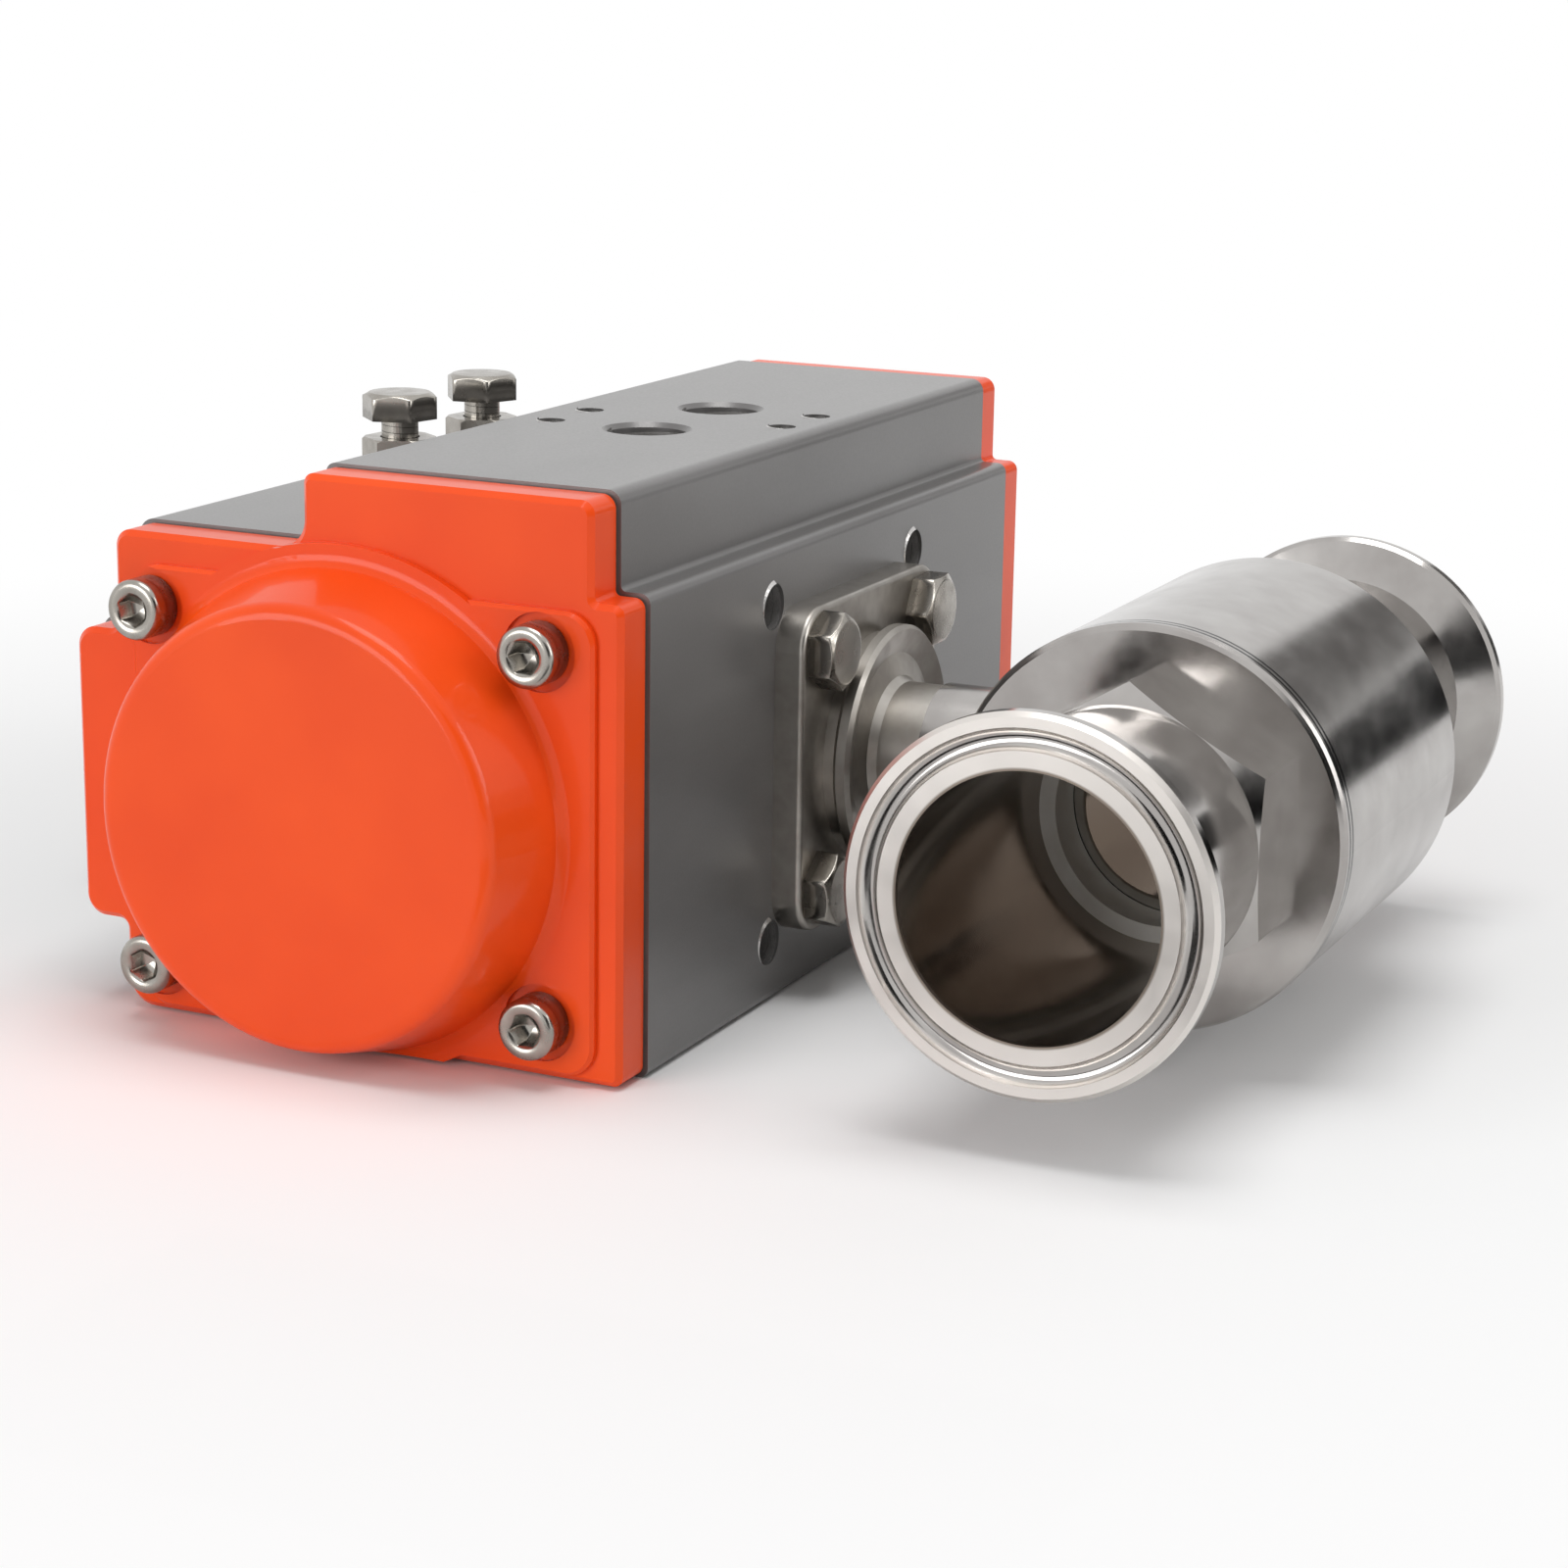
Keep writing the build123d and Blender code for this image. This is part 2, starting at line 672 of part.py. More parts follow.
def air_holes():
    """Two air ports: one opens into the cylinder's middle, one into the end gallery."""
    holes = []
    for y in (near_port_y, far_port_y):
        holes.append(z_rod(port_minor, port_face - port_depth, port_face, port_x, y))
        mouth = Cone(port_minor / 2, port_minor / 2 + port_chamfer, port_chamfer,
                     align=(Align.CENTER, Align.CENTER, Align.MAX))
        holes.append(Pos(port_x, y, port_face) * mouth)
    for x, y in port_screw_places():
        holes.append(z_rod(port_screw_minor, port_face - port_screw_depth, port_face, x, y))
    holes.append(z_rod(gallery_diameter, 0, port_face - port_depth, port_x, near_port_y))
    holes.append(y_rod(gallery_diameter, -half_body, half_body, gallery_x, gallery_z))
    link_z = port_face - port_depth + gallery_diameter / 4
    holes.append(x_rod(gallery_link, port_x, gallery_x, far_port_y, link_z))
    return Compound(children=holes)


def stop_holes():
    """Threaded holes for the two stop bolts."""
    holes = [z_rod(stop_bolt, 0, shoulder_height, stop_x, y) for y in stop_places()]
    return Compound(children=holes)


def stop_places():
    """Places of the closed and the open stop bolt along the body."""
    return (-stop_bolt_spacing / 2, stop_bolt_spacing / 2)


def cap_dome():
    """Domed middle of the far cap, solid, with a soft root on the boss."""
    base_r = dome_base_diameter / 2
    face_r = (dome_face_diameter + dome_rim_round) / 2
    cone = rounded([(0, cap_seat_y), (base_r, cap_seat_y), (base_r, boss_y), (face_r, dome_y),
                    (0, dome_y)], [0, 0, 0, dome_rim_round, 0])
    flare_outer = base_r + dome_root_height
    flare_inner = base_r - dome_root_sink
    lean = (base_r - face_r) * dome_root_height / dome_height
    root_top = boss_y + dome_root_height
    root = rounded([(0, plate_y), (flare_outer, plate_y), (flare_outer, boss_y),
                    (flare_inner, boss_y), (flare_inner - lean, root_top), (0, root_top)],
                   [0, 0, 0, dome_root_round, 0, 0])
    dome = Pos(bore_x, 0, 0) * revolve(Plane.XY * cone, Axis.Y)
    flare = Pos(bore_x, 0, 0) * revolve(Plane.XY * root, Axis.Y)
    return dome + (flare & along_y(actuator_outline(cap_inset), plate_y, root_top))


def far_cap():
    """Painted end cap with a domed spring space and four spot-faced screw holes."""
    plate = along_y(actuator_outline(cap_inset), cap_seat_y, plate_y)
    plate = chamfer(plate.edges().group_by(Axis.Y)[-1], cap_edge)
    left = mount_x - shoulder_end + cap_inset + cap_boss_inset
    right = mount_x - cap_inset - cap_boss_inset
    top = flank_top - cap_inset - cap_boss_top
    bottom = body_bottom + cap_inset + cap_boss_bottom
    boss = RectangleRounded(right - left, top - bottom, cap_boss_round)
    cap = plate + along_y(Pos((left + right) / 2, (top + bottom) / 2) * boss, plate_y - sink, boss_y)
    rim = cap.edges().filter_by_position(Axis.Y, boss_y - pick_range, boss_y + pick_range)
    cap = chamfer(rim, cap_boss_edge)
    cap += cap_dome()
    inner_r = bore_r - spring_space_lip
    face_r = dome_face_diameter / 2 - dome_wall
    cap -= turned_on_y([(0, cap_seat_y), (inner_r, cap_seat_y), (inner_r - spring_space_draft, boss_y),
                        (face_r, dome_y - dome_wall), (0, dome_y - dome_wall)], bore_x)
    for place in cap_screw_places():
        cap -= along_y(place * Circle(cap_screw / 2 + hole_gap), cap_seat_y, boss_y)
        cap -= along_y(place * Circle(spot_face_diameter / 2), screw_seat_y, dome_y)
    return cap - along_y(air_slot(), cap_seat_y, cap_seat_y + air_slot_depth)


def far_gasket():
    """Thin gasket between the body and the far cap."""
    sheet = actuator_outline(cap_inset + moving_gap) - Pos(bore_x, 0) * Circle(bore_r - gasket_lip)
    sheet -= at_each(cap_screw_places(), Circle(cap_screw / 2 + hole_gap))
    return along_y(sheet - air_slot(), half_body, cap_seat_y)


def far_cap_screws():
    """Four socket-head screws of the far cap."""
    head_y = screw_seat_y + cap_screw
    screw_end_y = half_body - cap_screw_reach + screw_end_room
    screws = []
    for place in cap_screw_places():
        shank = along_y(place * Circle(cap_screw / 2 - thread_gap), screw_end_y, screw_seat_y)
        head = along_y(place * Circle(cap_screw_head / 2), screw_seat_y, head_y)
        head = chamfer(head.edges().group_by(Axis.Y)[-1], screw_edge)
        socket = along_y(place * hexagon(cap_screw_socket), head_y - cap_screw / 2, head_y)
        screws.append(shank + head - socket)
    return Compound(children=screws)


# ---- Pinion ----

def involute_half_angle(radius):
    """Half the angle that a tooth fills at a radius."""
    base = pitch_r * cos(radians(pressure_angle))
    at_pitch = (tooth_pitch / 2 - backlash / 2) / (2 * pitch_r)
    alpha = acos(min(1.0, base / radius))
    rise = tan(radians(pressure_angle)) - radians(pressure_angle)
    return at_pitch + rise - (tan(alpha) - alpha)


def polar(radius, angle):
    """Point at a radius and an angle in radians."""
    return (radius * cos(angle), radius * sin(angle))


def tooth():
    """One involute tooth of the pinion, pointing along its sketch's x axis."""
    base = pitch_r * cos(radians(pressure_angle))
    middle = (base + tip_r) / 2
    foot = involute_half_angle(base)
    waist = involute_half_angle(middle)
    crown = involute_half_angle(tip_r)
    inner = root_r - tooth_root_sink
    edges = [Line(polar(inner, -foot), polar(base, -foot)),
             ThreePointArc(polar(base, -foot), polar(middle, -waist), polar(tip_r, -crown)),
             ThreePointArc(polar(tip_r, -crown), (tip_r, 0), polar(tip_r, crown)),
             ThreePointArc(polar(tip_r, crown), polar(middle, waist), polar(base, foot)),
             Line(polar(base, foot), polar(inner, foot)),
             Line(polar(inner, foot), polar(inner, -foot))]
    return make_face(edges)


def pinion():
    """Steel pinion: lower journal with the drive socket, teeth, cam seat and NAMUR top."""
    teeth = Circle(root_r)
    for index in range(tooth_count):
        teeth += Rot(0, 0, index * 360 / tooth_count) * tooth()
    gear_start = bore_x - pinion_face / 2
    gear_end = bore_x + pinion_face / 2
    journal_top = bore_floor_x - bush_setback
    cam_seat = cam_x + cam_thickness / 2
    body = along_x(teeth, gear_start, gear_end)
    body += x_rod(2 * root_r + gear_shoulder, gear_end, journal_top)
    body += x_rod(lower_journal, journal_top, journal_bottom_x)
    body += x_rod(upper_journal + cam_shoulder, cam_seat, gear_start)
    body += x_rod(upper_journal, shaft_shoulder_x, cam_seat)
    end = Circle(pinion_top_diameter / 2) & Rectangle(pinion_top_diameter, pinion_top_flats)
    body += along_x(end, top_x - pinion_top, shaft_shoulder_x)
    for journal, ring_x in ((lower_journal, lower_ring_x), (upper_journal, upper_ring_x)):
        body -= x_ring(journal, journal - 2 * ring_groove,
                       ring_x - ring_groove_width / 2, ring_x + ring_groove_width / 2)
    body -= x_ring(upper_journal, upper_journal - 2 * circlip_groove,
                   circlip_x - circlip_thickness, circlip_x)
    socket = Rectangle(socket_square + 2 * running_gap, socket_square + 2 * running_gap)
    body -= along_x(socket, journal_bottom_x - socket_depth, journal_bottom_x)
    return body - x_rod(shaft_screw, top_x - pinion_top, top_x - pinion_top + shaft_tapping)


def o_ring(journal, x):
    """O-ring in a groove of the pinion."""
    section = Plane.XY * Pos(x, journal / 2 - ring_groove / 2) * Circle(ring_groove / 2)
    return revolve(section, Axis.X)


def lower_bush():
    """Plastic bush round the pinion's lower journal."""
    inside = lower_journal + 2 * running_gap
    return x_ring(lower_journal + 2 * lower_bush_wall, inside,
                  bore_floor_x + bush_setback, mount_x - spigot_recess_depth - loose_gap)


def upper_bush():
    """Plastic bush round the pinion's upper journal."""
    inside = upper_journal + 2 * running_gap
    return x_ring(upper_journal + 2 * upper_bush_wall, inside,
                  top_x + bush_setback, bore_roof_x - moving_gap)


def top_washer():
    """Thrust washer between the retaining ring and the body."""
    inside = upper_journal + 2 * running_gap
    return x_ring(upper_journal + 2 * top_washer_width, inside, circlip_x, top_x - running_gap)


def circlip():
    """Open retaining ring in the pinion's groove."""
    journal_r = upper_journal / 2
    ring = Circle(journal_r + circlip_wall) - Circle(journal_r - circlip_groove + running_gap)
    ring -= Pos(0, -journal_r) * Rectangle(circlip_opening, upper_journal)
    return along_x(ring, circlip_x - circlip_thickness + running_gap, circlip_x - running_gap)


def stop_cam():
    """Cam on the pinion with one flat for each stop bolt."""
    lobe_side = cam_radius + cam_flat
    lobe = Pos(lobe_side / 2 - cam_flat, cam_flat - lobe_side / 2) * Rectangle(lobe_side, lobe_side)
    outline = (Circle(cam_radius) & lobe) + Circle(upper_journal / 2 + cam_hub)
    outline -= Circle(upper_journal / 2 + running_gap)
    return along_x(outline, cam_x - cam_thickness / 2, cam_x + cam_thickness / 2)


def drive_adapter():
    """Square sleeve between the stem's square and the pinion's socket."""
    outer = Rectangle(socket_square, socket_square)
    outer = chamfer(outer.vertices(), adapter_chamfer)
    inner = Rectangle(stem_square + 2 * running_gap, stem_square + 2 * running_gap)
    return along_x(outer - inner, journal_bottom_x - socket_depth + adapter_end_gap, journal_bottom_x)


def stem_nut():
    """Nut that loads the disc springs on the packing."""
    nut = hexagon(stem_nut_flats) - Circle(stem_diameter / 2 + running_gap)
    return along_x(nut, nut_top_x, springs_top_x)


# ---- Pistons ----

def rack_tooth(y):
    """One straight-sided rack tooth in the (y, z) plane, pointing at the pinion."""
    slope = tan(radians(pressure_angle))
    half_pitch_width = (tooth_pitch / 2 - backlash / 2) / 2
    tip = half_pitch_width - tooth_module * slope
    depth = dedendum * tooth_module
    root = half_pitch_width + depth * slope
    low = pitch_r - tooth_module
    high = pitch_r + depth
    return Polygon((y - tip, low), (y + tip, low), (y + root, high), (y + root, high + rack_sink),
                   (y - root, high + rack_sink), (y - root, high), align=None)


def near_piston():
    """Near piston: head with its grooves, and the rack arm above the pinion."""
    head = y_rod(2 * piston_r, -piston_outer_y, -piston_inner_y, x=bore_x)
    recess = y_rod(piston_r, -piston_outer_y, -piston_outer_y + piston_thickness / 3, x=bore_x)
    seal_y = seal_place()
    groove = ring_section + loose_gap
    head -= piston_ring(2 * piston_r - 2 * ring_section, seal_y - groove / 2, seal_y + groove / 2)
    band_y = band_place()
    head -= piston_ring(2 * (piston_r - band_thickness), band_y - piston_gap,
                        band_y + band_width + piston_gap)
    arm_r = bore_r - arm_gap
    arm_root = pitch_r + dedendum * tooth_module
    segment = Circle(arm_r) & Pos(0, arm_root + bore_r) * Rectangle(2 * arm_half_width, 2 * bore_r)
    arm = along_y(Pos(bore_x, 0) * segment, -piston_inner_y, rack_overhang)
    guide_end = rack_overhang - guide_setback
    arm -= along_y(Pos(bore_x, 0) * guide_section(piston_gap), guide_end - guide_length, guide_end)
    first = -int((stroke + 2 * tooth_module) / tooth_pitch + 1)
    last = int((rack_overhang - tooth_pitch / 2) / tooth_pitch + 1)
    for index in range(first, last + 1):
        arm += along_x(rack_tooth(index * tooth_pitch), bore_x - rack_face / 2, bore_x + rack_face / 2)
    return head - recess + arm


def seal_place():
    """Middle of the near piston's seal groove."""
    return -piston_outer_y + seal_setback


def band_place():
    """Start of the near piston's guide band."""
    return -piston_inner_y - band_width - band_setback


def piston_ring(inside, start, end):
    """Ring of the piston's own diameter round the cylinder's axis."""
    ring = Circle(piston_r) - Circle(inside / 2)
    return along_y(Pos(bore_x, 0) * ring, start, end)


def guide_section(gap):
    """Section of the pad that backs the rack arm against the cylinder."""
    ring = Circle(piston_r) - Circle(piston_r - guide_thickness - gap)
    return ring & Pos(0, bore_r) * Rectangle(2 * (guide_half_width + gap), bore_r)


def near_rack_guide():
    """Plastic pad in the back of the near rack arm."""
    section = Pos(bore_x, 0) * guide_section(0)
    guide_end = rack_overhang - guide_setback
    return along_y(section, guide_end - guide_length, guide_end)


def near_piston_seal():
    """O-ring of the near piston."""
    section = Plane.XY * Pos(piston_r - ring_section / 2, seal_place()) * Circle(ring_section / 2)
    return Pos(bore_x, 0, 0) * revolve(section, Axis.Y)


def near_guide_band():
    """Split guide band of the near piston."""
    band = piston_ring(2 * (piston_r - band_thickness), band_place(), band_place() + band_width)
    split = Box(band_split, 2 * band_width, 4 * band_thickness)
    return band - Pos(bore_x, band_place() + band_width / 2, -piston_r) * split


def turned_far(shape):
    """Copy of a near piston's piece, turned half round the pinion to the far side."""
    return shape.rotate(Axis.X, 180)


# ---- Stop bolts and indicator ----

def stop_bolt_piece(y):
    """Stop bolt with its head on top and a dog point on the cam's side."""
    shank_z = stop_tip_z + stop_tip_length
    shank = z_rod(stop_bolt - 2 * thread_gap, shank_z, stop_head_z, stop_x, y)
    tip = z_rod(stop_tip_diameter, stop_tip_z, shank_z, stop_x, y)
    head = Rot(0, 0, stop_head_turn) * hex_head(hex_m6_flats, hex_m6_head)
    head = Pos(stop_x, y, stop_head_z) * head
    return shank + tip + head


def stop_nut(y):
    """Lock nut of a stop bolt."""
    nut = hex_head(hex_m6_flats, nut_m6_height) - Cylinder(stop_bolt / 2, 4 * nut_m6_height)
    return Pos(stop_x, y, stop_nut_z) * Rot(0, 0, stop_nut_turn) * nut


def stop_washers():
    """Seal washers under the two lock nuts."""
    ring = Circle(hex_m6_flats / 2) - Circle(stop_bolt / 2)
    return Compound(children=[along_z(Pos(stop_x, y) * ring, shoulder_height, stop_nut_z)
                              for y in stop_places()])


def position_indicator():
    """Hollow indicator cap with a raised pointer, on the pinion's flats."""
    base = top_x - indicator_lift
    shaft_end = top_x - pinion_top
    face = shaft_end - indicator_roof
    cap = x_rod(indicator_diameter, face, base)
    cap = chamfer(cap.edges().group_by(Axis.X)[0], indicator_edge)
    hub = pinion_top_diameter + 2 * indicator_wall
    cap -= x_ring(indicator_diameter - 2 * indicator_wall, hub, shaft_end + indicator_web, base)
    pocket = Circle(pinion_top_diameter / 2 + piston_gap)
    pocket &= Rectangle(pinion_top_diameter + 1, pinion_top_flats + 2 * piston_gap)
    cap -= along_x(pocket, shaft_end, base)
    pointer_length = indicator_diameter - 2 * pointer_inset
    pointer = RectangleRounded(pointer_length, pointer_width, pointer_inset)
    cap += along_x(pointer, face - pointer_height, face)
    cap -= x_rod(indicator_head_recess, face - pointer_height, face)
    return cap - x_rod(indicator_hole, face - pointer_height, shaft_end)


def indicator_screw():
    """Socket screw that holds the indicator on the pinion."""
    face = top_x - pinion_top - indicator_roof
    head_end = face - indicator_head_height
    head = x_rod(indicator_head, head_end, face)
    head -= along_x(hexagon(indicator_key), head_end, head_end + indicator_key_depth)
    return head + x_rod(shaft_screw - 2 * thread_gap, face, face + indicator_screw_length)


def build_parts():
    """Every node of the assembly, by name."""
    far_screws = far_cap_screws()
    cap = far_cap()
    gasket = far_gasket()
    piston = near_piston()
    piston_seal = near_piston_seal()
    guide_band = near_guide_band()
    rack_guide = near_rack_guide()
    far_seat = seat()
    closed_y, open_y = stop_places()
    nuts = Compound(children=[stop_nut(y) for y in stop_places()])
    return {
        "valve_body": valve_body(), "screwed_end": screwed_end(), "ball": ball(),
        "near_seat": mirror_far(far_seat), "far_seat": far_seat, "body_seal": body_seal(),
        "stem": stem(),
        "stem_thrust_ring": x_ring(collar_diameter, stem_diameter + 2 * running_gap,
                                   collar_seat_x, collar_top_x - running_gap),
        "stem_packing": stem_packing(),
        "gland_ring": x_ring(chamber_diameter - 2 * running_gap, stem_diameter + 2 * running_gap,
                             gland_top_x, packing_top_x),
        "disc_springs": disc_springs(), "stem_nut": stem_nut(),
        "mounting_pad": mounting_pad(), "pad_bolts": pad_bolts(),
        "drive_adapter": drive_adapter(),
        "actuator_body": actuator_body(),
        "near_end_cap": mirror_far(cap), "far_end_cap": cap,
        "near_cap_gasket": mirror_far(gasket), "far_cap_gasket": gasket,
        "near_cap_screws": mirror_far(far_screws), "far_cap_screws": far_screws,
        "pinion": pinion(), "lower_bush": lower_bush(), "upper_bush": upper_bush(),
        "lower_o_ring": o_ring(lower_journal, lower_ring_x),
        "upper_o_ring": o_ring(upper_journal, upper_ring_x),
        "pinion_thrust_washer": top_washer(), "pinion_circlip": circlip(), "stop_cam": stop_cam(),
        "near_piston": piston, "near_piston_seal": piston_seal,
        "near_guide_band": guide_band, "near_rack_guide": rack_guide,
        "far_piston": turned_far(piston), "far_piston_seal": turned_far(piston_seal),
        "far_guide_band": turned_far(guide_band), "far_rack_guide": turned_far(rack_guide),
        "closed_stop_bolt": stop_bolt_piece(closed_y), "open_stop_bolt": stop_bolt_piece(open_y),
        "stop_lock_nuts": nuts, "stop_seal_washers": stop_washers(),
        "position_indicator": position_indicator(), "indicator_screw": indicator_screw(),
    }


if __name__ == "__main__":
    os.makedirs("parts", exist_ok=True)
    for node, shape in build_parts().items():
        export_step(shape, f"parts/{node}.step")
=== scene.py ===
"""Looks of an actuated clamp-end ball valve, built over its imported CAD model.

Every CAD solid keeps its shape and gets a finish named for its real material.  The threads and
the rounded screws that the solids leave plain are added here.  Units are metres in the row's
frame: the ball's centre is the origin, Y runs along the flow and X along the stem.
"""

from __future__ import annotations

import json
import logging
import math
from collections.abc import Callable
from dataclasses import dataclass, replace
from enum import Enum
from itertools import pairwise

import bmesh
import bpy
from mathutils import Matrix, Vector


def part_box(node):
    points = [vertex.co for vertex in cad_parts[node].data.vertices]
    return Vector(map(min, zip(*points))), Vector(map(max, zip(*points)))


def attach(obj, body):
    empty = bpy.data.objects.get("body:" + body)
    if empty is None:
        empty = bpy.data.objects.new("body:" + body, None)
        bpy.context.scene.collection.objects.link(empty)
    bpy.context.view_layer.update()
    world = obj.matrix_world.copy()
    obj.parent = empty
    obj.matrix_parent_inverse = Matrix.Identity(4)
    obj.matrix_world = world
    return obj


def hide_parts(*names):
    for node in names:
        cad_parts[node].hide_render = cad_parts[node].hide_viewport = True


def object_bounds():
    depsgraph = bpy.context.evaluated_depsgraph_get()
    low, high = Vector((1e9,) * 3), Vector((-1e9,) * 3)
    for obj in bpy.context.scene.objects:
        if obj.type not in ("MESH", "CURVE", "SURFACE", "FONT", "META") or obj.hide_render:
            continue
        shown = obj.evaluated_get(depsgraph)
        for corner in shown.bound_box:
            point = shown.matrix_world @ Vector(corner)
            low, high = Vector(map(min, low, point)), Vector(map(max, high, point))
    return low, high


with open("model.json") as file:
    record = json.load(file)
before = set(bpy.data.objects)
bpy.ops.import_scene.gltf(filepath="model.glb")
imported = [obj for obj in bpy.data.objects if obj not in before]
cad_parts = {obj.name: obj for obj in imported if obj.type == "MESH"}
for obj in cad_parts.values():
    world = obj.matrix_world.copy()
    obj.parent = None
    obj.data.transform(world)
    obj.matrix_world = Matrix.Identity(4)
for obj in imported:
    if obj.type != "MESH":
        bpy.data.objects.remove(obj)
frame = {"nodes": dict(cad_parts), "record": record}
CAD_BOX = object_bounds()

MM = 0.001
LOG = logging.getLogger("valve")

Socket = bpy.types.NodeSocket
Tree = bpy.types.NodeTree
Shape = Callable[[float], float]
Rings = list[tuple[float | Shape, float]]
Place = tuple[float, float, float]


# ---- Node tools ----

def linear(code: str) -> tuple[float, float, float, float]:
    """Turns an sRGB hex colour into linear light.

    Args:
        code: Colour such as "#F2582A".

    Returns:
        Linear red, green, blue and an alpha of 1.
    """
    parts = [int(code[i:i + 2], 16) / 255 for i in (1, 3, 5)]
    light = [c / 12.92 if c <= 0.04045 else ((c + 0.055) / 1.055) ** 2.4 for c in parts]
    return (light[0], light[1], light[2], 1.0)


def add_node(tree: Tree, kind: str, inputs: dict | None = None,
             **settings: object) -> bpy.types.Node:
    """Adds a node with its settings, values and links.

    Args:
        tree: Node tree that gets the node.
        kind: Blender's type name of the node.
        inputs: Input name or index to a value, or to the output socket that feeds it.
        settings: Properties of the node.

    Returns:
        The new node.
    """
    node = tree.nodes.new(kind)
    for name, value in settings.items():
        setattr(node, name, value)
    for key, value in (inputs or {}).items():
        if isinstance(value, Socket):
            tree.links.new(value, node.inputs[key])
        else:
            node.inputs[key].default_value = value
    return node


def mottle(tree: Tree, cell_mm: Place, detail: float, low: float, high: float) -> Socket:
    """Builds a soft random pattern of a real size on the surface.

    Args:
        tree: Material tree.
        cell_mm: Size of one patch along X, Y and Z.
        detail: Octaves of finer patches on top.
        low: Value in the patches' troughs.
        high: Value on their crests.

    Returns:
        Socket that carries the value at each point.
    """
    point = add_node(tree, "ShaderNodeTexCoord").outputs["Object"]
    cells = add_node(tree, "ShaderNodeVectorMath",
                     {0: point, 1: tuple(1 / (c * MM) for c in cell_mm)}, operation="MULTIPLY")
    noise = add_node(tree, "ShaderNodeTexNoise",
                     {"Vector": cells.outputs["Vector"], "Scale": 1.0, "Detail": detail})
    span = add_node(tree, "ShaderNodeMapRange", {"Value": noise.outputs["Fac"], "From Min": 0.3,
                                                 "From Max": 0.7, "To Min": low, "To Max": high})
    return span.outputs["Result"]


# ---- Finishes ----

class Axis(Enum):
    """Axis that a surface was turned round."""

    STEM = (1.0, 0.0, 0.0)
    FLOW = (0.0, 1.0, 0.0)


@dataclass(frozen=True)
class Finish:
    """Surface of one real material; a subclass adds its pattern."""

    name: str
    colour: str
    second: str
    roughness: float
    metallic: float = 0.0
    shader_values: tuple[tuple[str, float], ...] = ()

    def material(self) -> bpy.types.Material:
        """Returns the finish's material, built the first time it is asked for."""
        made = bpy.data.materials.get(self.name)
        if made is None:
            made = bpy.data.materials.new(self.name)
            made.use_nodes = True
            tree = made.node_tree
            tree.nodes.clear()
            values = {"Base Color": linear(self.colour), "Roughness": self.roughness,
                      "Metallic": self.metallic, **dict(self.shader_values)}
            shader = add_node(tree, "ShaderNodeBsdfPrincipled", values)
            add_node(tree, "ShaderNodeOutputMaterial", {"Surface": shader.outputs["BSDF"]})
            self.pattern(tree, shader)
        return made

    def pattern(self, tree: Tree, shader: bpy.types.Node) -> None:
        """Adds the surface's own detail; a subclass says what it is.

        Args:
            tree: Material tree.
            shader: The finish's shader.
        """


